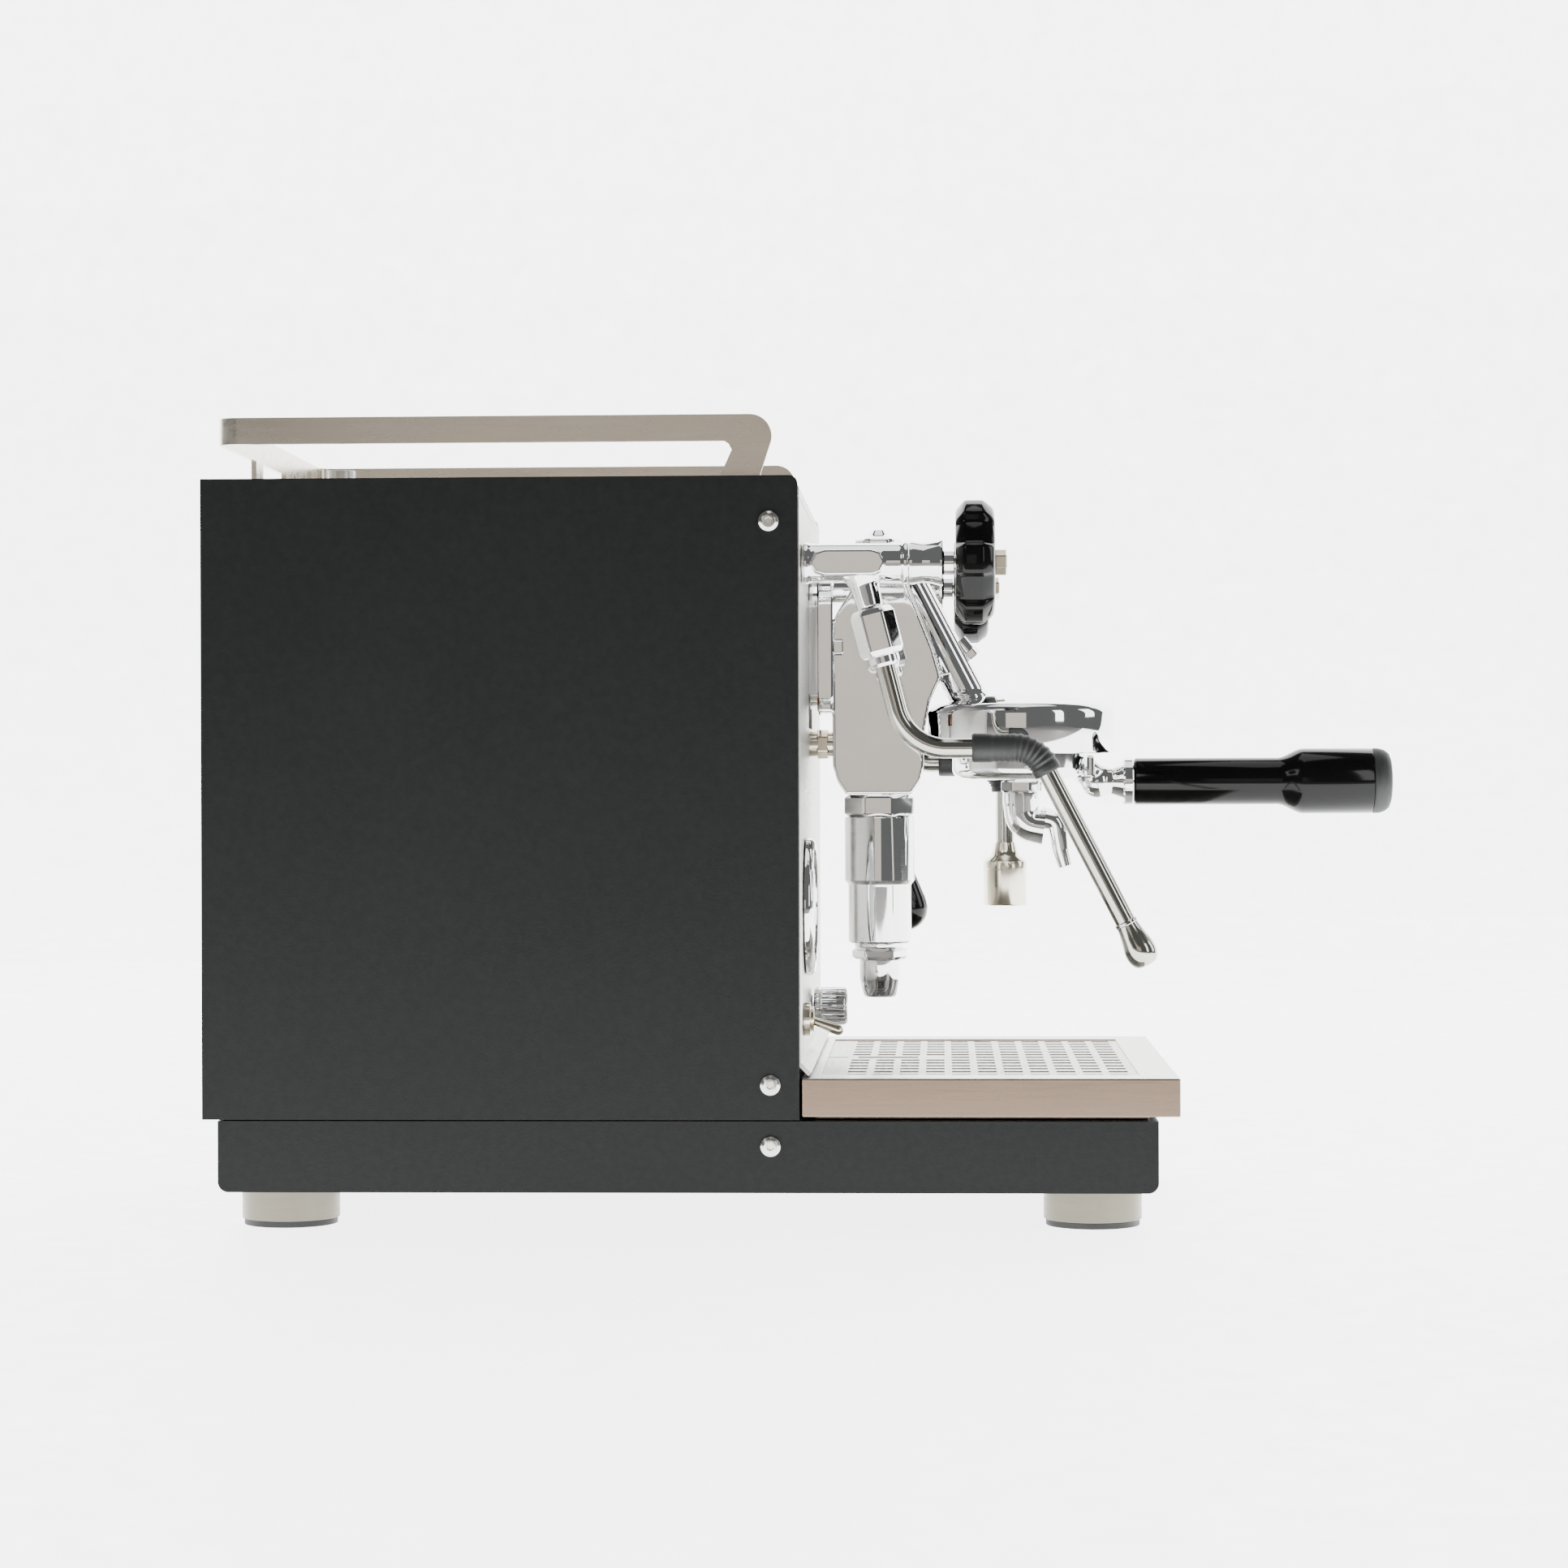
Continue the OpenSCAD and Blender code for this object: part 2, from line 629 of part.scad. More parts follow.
// Six-lobed hand knob with a bevelled front
module star_knob(s) {
  lobe_cut = star_d * 0.16;
  color("#111111") translate([s * valve_x, gland_end, valve_z]) difference() {
    union() {
      rod_y(star_d - 6, -1.5);
      translate([0, -1.5, 0]) rod_y(star_d, 5 - star_t);
      translate([0, 3.5 - star_t, 0]) rotate([90, 0, 0]) cylinder(d1 = star_d, d2 = star_d - 12, h = 3.5);
    }
    for (a = [0 : 60 : 300]) rotate([0, a, 0]) translate([star_d / 2 + lobe_cut * 0.55, 1, 0])
      rod_y(lobe_cut * 2, -star_t - 2);
    translate([0, 1, 0]) rod_y(stem_d, -star_t + 3.1);
    translate([0, 1, 0]) rod_y(5, -star_t - 2);
  }
}

module steam_valve() { valve_body(-1); }

module water_valve() { valve_body(1); }

module steam_stem() { valve_stem(-1); }

module water_stem() { valve_stem(1); }

module steam_knob() { star_knob(-1); }

module water_knob() { star_knob(1); }

// Hex nut that holds the wand's journal and lets it swing
module wand_nut(s) {
  color("#d0d0d0") at_joint(s) difference() {
    union() {
      translate([0, 0, -nut_len]) cylinder(d = 22, h = nut_len, $fn = 6);
      translate([0, 0, -nut_len - 5]) cylinder(d = 15, h = 5.5);
    }
    translate([0, 0, -nut_len + 4]) cylinder(d = ball_d + 2 * run_gap, h = nut_len - 10);
    translate([0, 0, -7]) cylinder(d = 8, h = 8);
    translate([0, 0, -nut_len - 6]) cylinder(r = wand_r + run_gap, h = 12);
  }
}

module steam_wand_nut() { wand_nut(-1); }

module water_wand_nut() { wand_nut(1); }

function joint_point(drop) = [joint_y - drop * sin(leg_tilt), joint_z - drop * cos(leg_tilt)];
steam_run_z = 223.8;
steam_lean = 27.2;
steam_bend_y = -104.7;
steam_drop = 92;
water_run_z = 218;
water_y = -94.3;
water_end_z = 176;
steam_route = [
  joint_point(9), joint_point((joint_z - steam_run_z) / cos(leg_tilt)), [steam_bend_y, steam_run_z],
  [steam_bend_y - steam_drop * sin(steam_lean), steam_run_z - steam_drop * cos(steam_lean)]
];
water_route = [
  joint_point(9), joint_point((joint_z - water_run_z) / cos(leg_tilt)), [water_y, water_run_z],
  [water_y, water_end_z]
];
steam_bends = [0, 24, 16, 0];
water_bends = [0, 12, 16, 0];

module wand(s, route, bends) {
  color("#cfcfcf") {
    translate([s * valve_x, 0, 0]) bent_rod(route, bends, wand_d);
    at_joint(s) translate([0, 0, -9 - ball_h]) cylinder(d = ball_d, h = ball_h);
  }
}

module steam_wand() { wand(-1, steam_route, steam_bends); }

module water_wand() { wand(1, water_route, water_bends); }

// Rubber sleeve over the wand's second bend
module wand_grip(s, route, bends, back, ahead) {
  a = heading(route, 2);
  sleeve = [route[2] + [back, 0], route[2], route[2] + ahead * [cos(a), sin(a)]];
  color("#191919") translate([s * valve_x, 0, 0])
    bent_tube(sleeve, [0, bends[2], 0], wand_d + 4.4, wand_d + 0.02);
}

module steam_wand_grip() { wand_grip(-1, steam_route, steam_bends, 32.9, 13); }

module water_wand_grip() { wand_grip(1, water_route, water_bends, 38, 17); }

module steam_tip() {
  end = steam_route[3];
  color("#d4d0c8") translate([-valve_x, end[0], end[1]]) rotate([-steam_lean, 0, 0]) difference() {
    union() {
      translate([0, 0, -13.2]) cylinder(d1 = 15, d2 = wand_d + 0.8, h = 13);
      translate([0, 0, -18.2]) cylinder(d = 15, h = 5);
      translate([0, 0, -22.6]) cylinder(d1 = 9, d2 = 15, h = 4.4);
    }
    translate([0, 0, -20]) cylinder(d = 6, h = 21);
    for (a = [45 : 90 : 315]) rotate([0, 0, a]) translate([3, 0, -24]) cylinder(d = 1.4, h = 5);
  }
}

module water_tip() {
  color("#cfc8b8") translate([valve_x, water_y, 0]) difference() {
    union() {
      translate([0, 0, water_end_z - 10]) cylinder(d1 = 23, d2 = wand_d + 1, h = 9.9);
      translate([0, 0, water_end_z - 33.4]) cylinder(d = 23, h = 23.4);
    }
    translate([0, 0, water_end_z - 34]) cylinder(d = 19, h = 22);
    translate([0, 0, water_end_z - 13]) cylinder(d = 6, h = 14);
  }
}

// Cast body: rear flange, upright, leaning neck and bell in one piece
module group_body() {
  color("#dcdcdc") difference() {
    union() {
      for (z = [flange_z0 + 23, flange_z1 - 23]) translate([0, body_front + 5.4, z]) rod_y(46, -17.8);
      box([-23, body_front - 12.4, flange_z0 + 23], [23, body_front + 5.4, flange_z1 - 23]);
      box([-15, bulb_y, flange_z0 + 8], [15, body_front - 12, flange_z1 - 12]);
      intersection() {
        translate([0, bulb_y, 0]) union() {
          translate([0, 0, chamber_z1 + gap]) cylinder(d1 = 37, d2 = bulb_d, h = 12);
          translate([0, 0, chamber_z1 + gap + 12]) cylinder(d = bulb_d, h = 64);
          translate([0, 0, chamber_z1 + gap + 76]) cylinder(d1 = bulb_d, d2 = 25, h = 24);
        }
        box([cheek_left, -200, 0], [cheek_right, 100, 400]);
      }
      translate([0, upright_y, 300]) cylinder(d = 24.9, h = 26);
      hull() {
        translate([0, brew_y + 27, bell_top - 4]) cylinder(d = 20, h = 4, $fn = 32);
        translate([0, upright_y - 14, 306]) rotate([24, 0, 0]) cylinder(d = 17, h = 6, $fn = 32);
      }
      box([-8, upright_y - 15, 298], [8, upright_y, 318]);
      translate([0, brew_y, 0]) bell_shell();
      box([-12, brew_y + 34, bell_low + 3], [12, upright_y - 12, bell_top]);
      translate([0, body_front + 4.9, thermo_z[0]]) rod_y(13, -24);
      translate([0, body_front - 3.6, thermo_z[0]]) rod_y(14.5, -6, $fn = 6);
      translate([0, -68, 284]) rotate([141, 0, 0]) cylinder(d = 7, h = 16);
    }
    translate([0, brew_y, 0]) bell_cavity();
    translate([cheek_left + 6, upright_y, cam_z]) rod_x(cam_d + 2 * run_gap, 60);
    translate([0, bulb_y, chamber_z1 - 1]) cylinder(d = 12, h = 12);
  }
}

module bell_shell() {
  fillet = 5;
  translate([0, 0, bell_low]) cylinder(d = bell_d, h = bell_top - bell_low);
  translate([0, 0, bell_top]) cylinder(d1 = bell_d - 4, d2 = bell_d - 14, h = fillet);
}

// Mouth with two lug slots, the lug groove above it and the seats of gasket and screen
module bell_cavity() {
  translate([0, 0, bell_low - 1]) cylinder(d = mouth_d, h = groove_z[0] - bell_low + 2);
  translate([0, 0, groove_z[0]]) cylinder(d = groove_d, h = groove_z[1] - groove_z[0]);
  translate([0, 0, groove_z[1] - 1]) cylinder(d = bowl_d + 5, h = 11);
  rotate([0, 0, -45]) box([-groove_d / 2, -11, bell_low - 1], [groove_d / 2, 11, groove_z[0] + 1]);
}

module group_gasket() {
  color("#1b1b1b") translate([0, brew_y, rim_z + 1.2 + gap]) difference() {
    cylinder(d = bowl_d + 4.8, h = 8);
    translate([0, 0, -1]) cylinder(d = basket_d - 1, h = 10);
  }
}

module shower_screen() {
  color("#c4c4c4") translate([0, brew_y, rim_z + 3]) difference() {
    cylinder(d = basket_d - 1.4, h = 5);
    translate([0, 0, 1]) cylinder(d = basket_d - 4, h = 5);
    for (r = [8, 16, 24], a = [0 : 360 / r * 2 : 359]) rotate([0, 0, a]) translate([r, 0, -1])
      cylinder(d = 2, h = 3);
  }
}

module group_cap() {
  color("#dcdcdc") translate([0, upright_y, 326 + gap / 3]) {
    cylinder(d = 24.9, h = 3, $fn = 6);
    translate([0, 0, 3]) cylinder(d1 = 24, d2 = 8, h = 5.4);
    translate([0, 0, 2]) cylinder(d = 8, h = 6.4);
  }
}

module group_chamber() {
  color("#d2d2d0") translate([0, upright_y, 0]) difference() {
    union() {
      translate([0, 0, 190.8]) cylinder(d = 36.3, h = chamber_z1 - 190.8);
      translate([0, 0, 158.8]) cylinder(d = 35, h = 32.5);
      translate([0, 0, 156.8]) cylinder(d1 = 31.5, d2 = 35, h = 2);
      translate([0, 0, 128.1]) cylinder(d = 31.5, h = 28.8);
      translate([0, 0, 124.8]) cylinder(d = 24, h = 3.4);
      translate([0, 0, 119.5]) cylinder(d = 28.6, h = 5.4, $fn = 6);
      translate([0, 0, 109.8]) cylinder(d = 20.4, h = 9.8);
      translate([0, 0, 100.6]) cylinder(d1 = 15.5, d2 = 20.4, h = 9.2);
    }
    translate([0, 0, 100]) cylinder(d = 10, h = 60);
    translate([0, 0, 150]) cylinder(d = 24, h = 48);
  }
}

lever_lean = 8.5;
lever_drop = 82;

// Cam shaft through the upright, with the arm that hangs down outside it
module brew_lever() {
  color("#cfcfcf") translate([0, upright_y, cam_z]) {
    translate([cheek_left + 7, 0, 0]) rod_x(cam_d, lever_x - cheek_left - 1);
    translate([cheek_right + gap, 0, 0]) rod_x(20, 10);
    rotate([-lever_lean, 0, 0]) translate([lever_x, 0, -lever_drop + 26])
      cylinder(d = 7, h = lever_drop - 26);
  }
}

module lever_knob() {
  color("#101010") translate([0, upright_y, cam_z]) rotate([-lever_lean, 0, 0])
    translate([lever_x, 0, -lever_drop]) difference() {
      union() {
        sphere(d = 23.2);
        translate([0, 0, 3.2]) cylinder(d1 = 22.3, d2 = 11, h = 22);
        translate([0, 0, 25.2]) cylinder(d = 11, h = 7);
      }
      translate([0, 0, 26]) cylinder(d = 7.02, h = 20);
    }
}

// Bowl with two lugs, the bent arm and the chrome collar of the handle
module portafilter() {
  neck_y = -136.6;
  collar_y = -151.3;
  color("#d8d8d8") difference() {
    union() {
      translate([0, brew_y, 0]) {
        translate([0, 0, bowl_z0 + 4]) cylinder(d = bowl_d, h = rim_z - bowl_z0 - 4);
        translate([0, 0, bowl_z0]) cylinder(d1 = bowl_d - 7, d2 = bowl_d, h = 4.02);
        intersection() {
          translate([0, 0, lug_z[0]]) cylinder(d = groove_d - 1, h = lug_z[1] - lug_z[0]);
          box([-60, -9.5, 0], [60, 9.5, 400]);
        }
      }
      translate([0, brew_y - bowl_d / 2 + 7, bowl_z0 + 6]) rotate([90 + 24, 0, 0]) cylinder(d = 11, h = 16);
      translate([0, neck_y - 3, handle_z]) sphere(d = 16);
      translate([0, neck_y - 2, handle_z]) rod_y(13.5, collar_y - neck_y + 2);
      translate([0, collar_y + 4.5, handle_z]) rotate([90, 0, 0]) cylinder(d1 = 13.5, d2 = 17.5, h = 4.5);
      translate([0, collar_y, handle_z]) rod_y(23.8, -5.5);
      translate([0, collar_y - 5, handle_z]) rod_y(12, -50);
    }
    translate([0, brew_y, bowl_z0 + 2.5]) cylinder(d = basket_d + 3.4, h = 40);
    translate([0, brew_y, bowl_z0 - 1]) cylinder(d = 9, h = 10);
  }
}

module filter_basket() {
  color("#c2c2c2") translate([0, brew_y, 0]) difference() {
    union() {
      translate([0, 0, bowl_z0 + 4]) cylinder(d = basket_d + 2, h = rim_z - bowl_z0 - 4 + 0.1);
      translate([0, 0, rim_z + 0.02]) cylinder(d = bowl_d - 0.6, h = 1.2);
    }
    translate([0, 0, bowl_z0 + 4.8]) cylinder(d = basket_d, h = 40);
    for (r = [6, 12, 18, 24], a = [0 : 360 / r * 1.5 : 359]) rotate([0, 0, a]) translate([r, 0, bowl_z0 + 2])
      cylinder(d = 1.6, h = 6);
  }
}

module portafilter_handle() {
  back = -156.8 - gap / 3;
  flare = -230.6;
  end = -body_back;
  r0 = 11.65;
  r1 = 16.25;
  color("#121212") translate([0, 0, handle_z]) rotate([90, 0, 0]) difference() {
    rotate_extrude() polygon([
      [0, -back], [r0 - 0.6, -back], [r0, -back + 0.6], [r0, -flare - 2], [r0 + 0.5, -flare + 1],
      [(r0 + r1) / 2, -flare + 5], [r1 - 0.5, -flare + 9], [r1, -flare + 12], [r1, -end - 9.8],
      [r1 - 0.6, -end - 9.4], [r1, -end - 9], [r1 - 0.5, -end - 4], [r1 - 3.5, -end - 1], [r1 - 6, -end],
      [0, -end]
    ]);
    translate([0, 0, -back - 1]) cylinder(d = 12.02, h = 51);
  }
}

// Nut, elbow facing the front and chute
module spout() {
  reach = 19;
  knee_z = 185;
  color("#d2d2d2") translate([0, brew_y, 0]) difference() {
    union() {
      translate([0, 0, bowl_z0 - 6]) cylinder(d = 22, h = 5.9);
      translate([0, 0, bowl_z0 - 12]) cylinder(d = 19, h = 6.1);
      translate([0, 0, knee_z]) cylinder(d = 16, h = bowl_z0 - 12 - knee_z + 0.1);
      translate([0, 0, knee_z]) sphere(d = 18);
      translate([0, 0, knee_z]) rod_y(15, -reach);
      translate([0, -reach, knee_z]) sphere(d = 17);
      translate([0, -reach, 165]) cylinder(d = 14, h = knee_z - 165);
    }
    translate([0, 0, knee_z]) cylinder(d = 9, h = 40);
    translate([0, 1, knee_z]) rod_y(8, -reach - 1);
    translate([0, -reach, 160]) cylinder(d = 10, h = knee_z - 158);
  }
}

module drip_tray() {
  color("#cfcfcc") difference() {
    union() {
      box([-tray_x, tray_front, tray_z0], [tray_x, tray_back, tray_top]);
      box([-tray_x + 9, tray_front + 14, tray_floor], [tray_x - 9, tray_back - 6, tray_z0 + 1]);
    }
    box([-tray_x + tray_wall, tray_front + tray_wall, tray_z0 + tray_wall],
        [tray_x - tray_wall, tray_back - tray_wall, tray_top - tray_wall]);
    box([-grate_x, grate_front, tray_top - 3], [grate_x, grate_back, tray_top + 1]);
    box([-tray_x + 9 + tray_wall, tray_front + 14 + tray_wall, tray_floor + tray_wall],
        [tray_x - 9 - tray_wall, tray_back - 6 - tray_wall, tray_z0 + 2]);
  }
  color("#cfcfcc") for (x = [-1, 1], y = [grate_front + 6, grate_back - 6])
    box([x * (grate_x - 6) - 3, y - 3, tray_floor + tray_wall - 0.1],
      [x * (grate_x - 6) + 3, y + 3, grate_z - gap / 3]);
}

module drip_grate() {
  pitch_y = 12.4;
  pitch_x = 2 * (grate_x - 9) / (grate_rows - 1);
  slot_x = pitch_x / 2 - 1;
  clear = gap / 2;
  color("#c4c4c2") difference() {
    box([-grate_x + clear, grate_front + clear, grate_z],
      [grate_x - clear, grate_back - clear, grate_z + grate_t]);
    for (c = [0 : grate_cols - 1], r = [0 : grate_rows - 1])
      if (c > 3 || r != (grate_rows - 1) / 2)
        translate([-grate_x + 9 + r * pitch_x - slot_x / 2, grate_back - 12 - c * pitch_y - 9, grate_z - 1])
          cube([slot_x, 9, grate_t + 2]);
    box([-4, upright_y - 19, grate_z - 1], [4, upright_y + 11, grate_z + 3]);
    box([-2, grate_back - 10, grate_z - 1], [2, grate_back + 1, grate_z + 3]);
    for (s = [-1, 1]) translate([s * (grate_x + 4), (grate_front + grate_back) / 2, grate_z - 1])
      cylinder(d = 14, h = 4);
  }
}

base_frame();
base_cover();
feet();
foot_soles();
side_panel_left();
side_panel_right();
panel_screws();
front_panel();
rear_panel();
top_deck();
cup_rail();
power_inlet();
boiler();
boiler_element();
boiler_cradle();
boiler_valves();
pump();
pump_mounts();
control_box();
fill_valve();
thermosyphon_pipes();
valve_pipes();
water_tank();
tank_lid();
gauge_case();
gauge_dial();
gauge_glass();
gauge_needle();
switch_base();
switch_lever();
selector_base();
selector_knob();
steam_valve();
steam_stem();
steam_knob();
water_valve();
water_stem();
water_knob();
steam_wand_nut();
steam_wand();
steam_wand_grip();
steam_tip();
water_wand_nut();
water_wand();
water_wand_grip();
water_tip();
group_body();
group_cap();
group_chamber();
brew_lever();
lever_knob();
shower_screen();
group_gasket();
portafilter();
filter_basket();
portafilter_handle();
spout();
drip_tray();
drip_grate();
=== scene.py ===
import json
import math

import bmesh
import bpy
from mathutils import Matrix, Vector


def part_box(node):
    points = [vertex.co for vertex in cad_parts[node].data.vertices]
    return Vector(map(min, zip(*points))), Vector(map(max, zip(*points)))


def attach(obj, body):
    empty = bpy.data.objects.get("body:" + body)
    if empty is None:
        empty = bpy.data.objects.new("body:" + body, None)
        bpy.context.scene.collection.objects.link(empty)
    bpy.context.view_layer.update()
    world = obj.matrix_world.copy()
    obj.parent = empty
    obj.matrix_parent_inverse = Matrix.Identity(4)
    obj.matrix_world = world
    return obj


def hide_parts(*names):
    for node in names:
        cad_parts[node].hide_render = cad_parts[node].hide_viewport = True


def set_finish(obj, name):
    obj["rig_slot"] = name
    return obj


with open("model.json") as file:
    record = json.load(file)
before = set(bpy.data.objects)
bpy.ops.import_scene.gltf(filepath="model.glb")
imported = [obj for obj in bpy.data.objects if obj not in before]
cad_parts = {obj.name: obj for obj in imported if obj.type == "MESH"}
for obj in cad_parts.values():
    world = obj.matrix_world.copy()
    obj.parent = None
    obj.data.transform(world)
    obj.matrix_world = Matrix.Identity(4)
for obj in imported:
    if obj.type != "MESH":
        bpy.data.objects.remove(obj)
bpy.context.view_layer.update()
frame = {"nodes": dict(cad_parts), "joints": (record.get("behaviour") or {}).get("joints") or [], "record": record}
RECORD = frame["record"]
MM = 0.001
SLOT_OF = {part["node"]: part["material_slot"] for part in RECORD["subparts"]}
BODY_OF = {node: body for body, nodes in RECORD["behaviour"]["bodies"].items() for node in nodes}


# ---------------------------------------------------------------- camera, floor and light

def make_camera():
    """The viewing angle of the photograph: level, square to the machine's left side."""
    place = Vector((-1.7949, -0.0607, 0.2062))
    yaw, pitch, roll = 0.0440, 0.0006, -0.0033
    ahead = Vector((math.cos(yaw) * math.cos(pitch), math.sin(yaw) * math.cos(pitch), math.sin(pitch)))
    right = ahead.cross(Vector((0, 0, 1))).normalized()
    up = right.cross(ahead)
    right, up = (right * math.cos(roll) + up * math.sin(roll), up * math.cos(roll) - right * math.sin(roll))
    data = bpy.data.cameras.new("camera")
    data.sensor_width = 36
    data.lens = 82.13
    data.clip_start = 0.05
    camera = bpy.data.objects.new("camera", data)
    camera.matrix_world = Matrix.Translation(place) @ Matrix((right, up, -ahead)).transposed().to_4x4()
    bpy.context.scene.collection.objects.link(camera)
    bpy.context.scene.camera = camera


def add_light(name, place, target, size, power):
    data = bpy.data.lights.new(name, "AREA")
    data.shape = "RECTANGLE"
    data.size, data.size_y = size
    data.energy = power
    lamp = bpy.data.objects.new(name, data)
    lamp.location = place
    lamp.rotation_euler = (Vector(target) - Vector(place)).to_track_quat("-Z", "Y").to_euler()
    bpy.context.scene.collection.objects.link(lamp)


def add_card(name, place, target, size, material):
    """A card that stands in the studio, outside the camera's view, for chrome to mirror."""
    mesh = bpy.data.meshes.new(name)
    w, h = size[0] / 2, size[1] / 2
    mesh.from_pydata([(-w, -h, 0), (w, -h, 0), (w, h, 0), (-w, h, 0)], [], [(0, 1, 2, 3)])
    mesh.materials.append(material)
    card = bpy.data.objects.new(name, mesh)
    card.location = place
    card.rotation_euler = (Vector(target) - Vector(place)).to_track_quat("Z", "Y").to_euler()
    bpy.context.scene.collection.objects.link(card)


def make_floor(paper, table):
    """A pale sheet of paper on a darker table; the sheet sweeps up behind the object in one curve."""
    front, bend, r, height = -0.92, 1.5, 1.4, 4.5
    line = [(front, 0.0), (bend, 0.0)]
    line += [
        (bend + r * math.sin(math.radians(t)), r - r * math.cos(math.radians(t)))
        for t in range(6, 91, 6)
    ]
    line.append((bend + r, height))
    verts = [(x, y, z) for x, z in line for y in (-5.0, 6.0)]
    faces = [(2 * i, 2 * i + 2, 2 * i + 3, 2 * i + 1) for i in range(len(line) - 1)]
    under = [(-5, -5, -0.01), (6, -5, -0.01), (6, 5, -0.01), (-5, 5, -0.01)]
    sheets = (("paper", verts, faces, paper), ("table", under, [(0, 1, 2, 3)], table))
    for name, points, shape, material in sheets:
        mesh = bpy.data.meshes.new(name)
        mesh.from_pydata(points, [], shape)
        mesh.materials.append(material)
        floor = bpy.data.objects.new(name, mesh)
        bpy.context.scene.collection.objects.link(floor)


def make_world():
    world = bpy.data.worlds.new("studio")
    world.use_nodes = True
    back = world.node_tree.nodes["Background"]
    back.inputs["Color"].default_value = (0.93, 0.95, 0.945, 1)
    back.inputs["Strength"].default_value = 0.16
    bpy.context.scene.world = world


# ---------------------------------------------------------------- materials

def new_material(name, color, metallic=0.0, roughness=0.5, **sockets):
    """A Principled material; the rest of its sockets are given by their names with underscores."""
    material = bpy.data.materials.new(name)
    material.use_nodes = True
    shader = material.node_tree.nodes["Principled BSDF"]
    shader.inputs["Base Color"].default_value = (*color, 1)
    shader.inputs["Metallic"].default_value = metallic
    shader.inputs["Roughness"].default_value = roughness
    for key, value in sockets.items():
        shader.inputs[key.replace("_", " ")].default_value = value
    return material, material.node_tree, shader


def add_noise(tree, scale, detail=3.0, stretch=(1, 1, 1)):
    """Noise in the object's own coordinates, stretched along its axes."""
    coords = tree.nodes.new("ShaderNodeTexCoord")
    mapping = tree.nodes.new("ShaderNodeMapping")
    mapping.inputs["Scale"].default_value = stretch
    noise = tree.nodes.new("ShaderNodeTexNoise")
    noise.inputs["Scale"].default_value = scale
    noise.inputs["Detail"].default_value = detail
    tree.links.new(coords.outputs["Object"], mapping.inputs["Vector"])
    tree.links.new(mapping.outputs["Vector"], noise.inputs["Vector"])
    return noise.outputs["Fac"]


def vary(tree, value, low, high, socket):
    """Spreads a noise value over a range and feeds it to a socket."""
    spread = tree.nodes.new("ShaderNodeMapRange")
    spread.inputs["From Min"].default_value = 0.3
    spread.inputs["From Max"].default_value = 0.7
    spread.inputs["To Min"].default_value = low
    spread.inputs["To Max"].default_value = high
    tree.links.new(value, spread.inputs["Value"])
    tree.links.new(spread.outputs["Result"], socket)


def tint(tree, value, dark, light, shader):
    ramp = tree.nodes.new("ShaderNodeValToRGB")
    ramp.color_ramp.elements[0].position = 0.3
    ramp.color_ramp.elements[0].color = (*dark, 1)
    ramp.color_ramp.elements[1].position = 0.7
    ramp.color_ramp.elements[1].color = (*light, 1)
    tree.links.new(value, ramp.inputs["Fac"])
    tree.links.new(ramp.outputs["Color"], shader.inputs["Base Color"])


def bump(tree, value, strength, distance, shader):
    node = tree.nodes.new("ShaderNodeBump")
    node.inputs["Strength"].default_value = strength
    node.inputs["Distance"].default_value = distance
    tree.links.new(value, node.inputs["Height"])
    tree.links.new(node.outputs["Normal"], shader.inputs["Normal"])


def scaled(color, factor):
    return tuple(c * factor for c in color)


def powder_coat(name, color):
    material, tree, shader = new_material(name, color, 0.0, 0.46, Specular_IOR_Level=0.2)
    grain = add_noise(tree, 900, 2.0)
    tint(tree, add_noise(tree, 260, 4.0), scaled(color, 0.85), scaled(color, 1.2), shader)
    vary(tree, add_noise(tree, 7, 3.0), 0.42, 0.5, shader.inputs["Roughness"])
    bump(tree, grain, 0.22, 0.0003, shader)
    return material


def mirror_metal(name, color, roughness=0.035):
    """Plated metal: a mirror with faint wipe marks in its gloss."""
    material, tree, shader = new_material(name, color, 1.0, roughness)
    tint(tree, add_noise(tree, 30, 3.0), scaled(color, 0.97), color, shader)
    vary(tree, add_noise(tree, 22, 5.0, (1, 1, 2.5)), roughness * 0.7, roughness * 1.6,
         shader.inputs["Roughness"])
    bump(tree, add_noise(tree, 26, 1.0), 0.12, 0.0012, shader)
    return material


def brushed_metal(name, color, roughness, along=(1, 40, 40), grain=38.0, depth=0.05):
    """Sheet metal with a fine grain that runs along one axis."""
    material, tree, shader = new_material(name, color, 1.0, roughness)
    lines = add_noise(tree, grain, 4.0, along)
    tint(tree, lines, scaled(color, 0.92), scaled(color, 1.04), shader)
    vary(tree, lines, roughness * 0.8, roughness * 1.25, shader.inputs["Roughness"])
    bump(tree, lines, depth, 0.0002, shader)
    return material


def moulded(name, color, roughness, coat=0.0, texture=0.1, grain=700, gloss=0.5):
    material, tree, shader = new_material(name, color, 0.0, roughness, Coat_Weight=coat, Coat_Roughness=0.04,
                                          Specular_IOR_Level=gloss)
    tint(tree, add_noise(tree, 40, 3.0), scaled(color, 0.85), scaled(color, 1.15), shader)
    vary(tree, add_noise(tree, 60, 4.0), roughness * 0.8, roughness * 1.2, shader.inputs["Roughness"])
    bump(tree, add_noise(tree, grain, 2.0), texture, 0.0002, shader)
    return material


def glow(material, color, strength):
    """A studio surface that also gives off light, as a light table or a lit card does."""
    shader = material.node_tree.nodes["Principled BSDF"]
    shader.inputs["Emission Color"].default_value = (*color, 1)
    shader.inputs["Emission Strength"].default_value = strength


def clear(name, color, roughness, thin=0.92):
    material, tree, shader = new_material(name, color, 0.0, roughness, Transmission_Weight=thin, IOR=1.45)
    vary(tree, add_noise(tree, 50, 3.0), roughness, roughness * 2, shader.inputs["Roughness"])
    return material


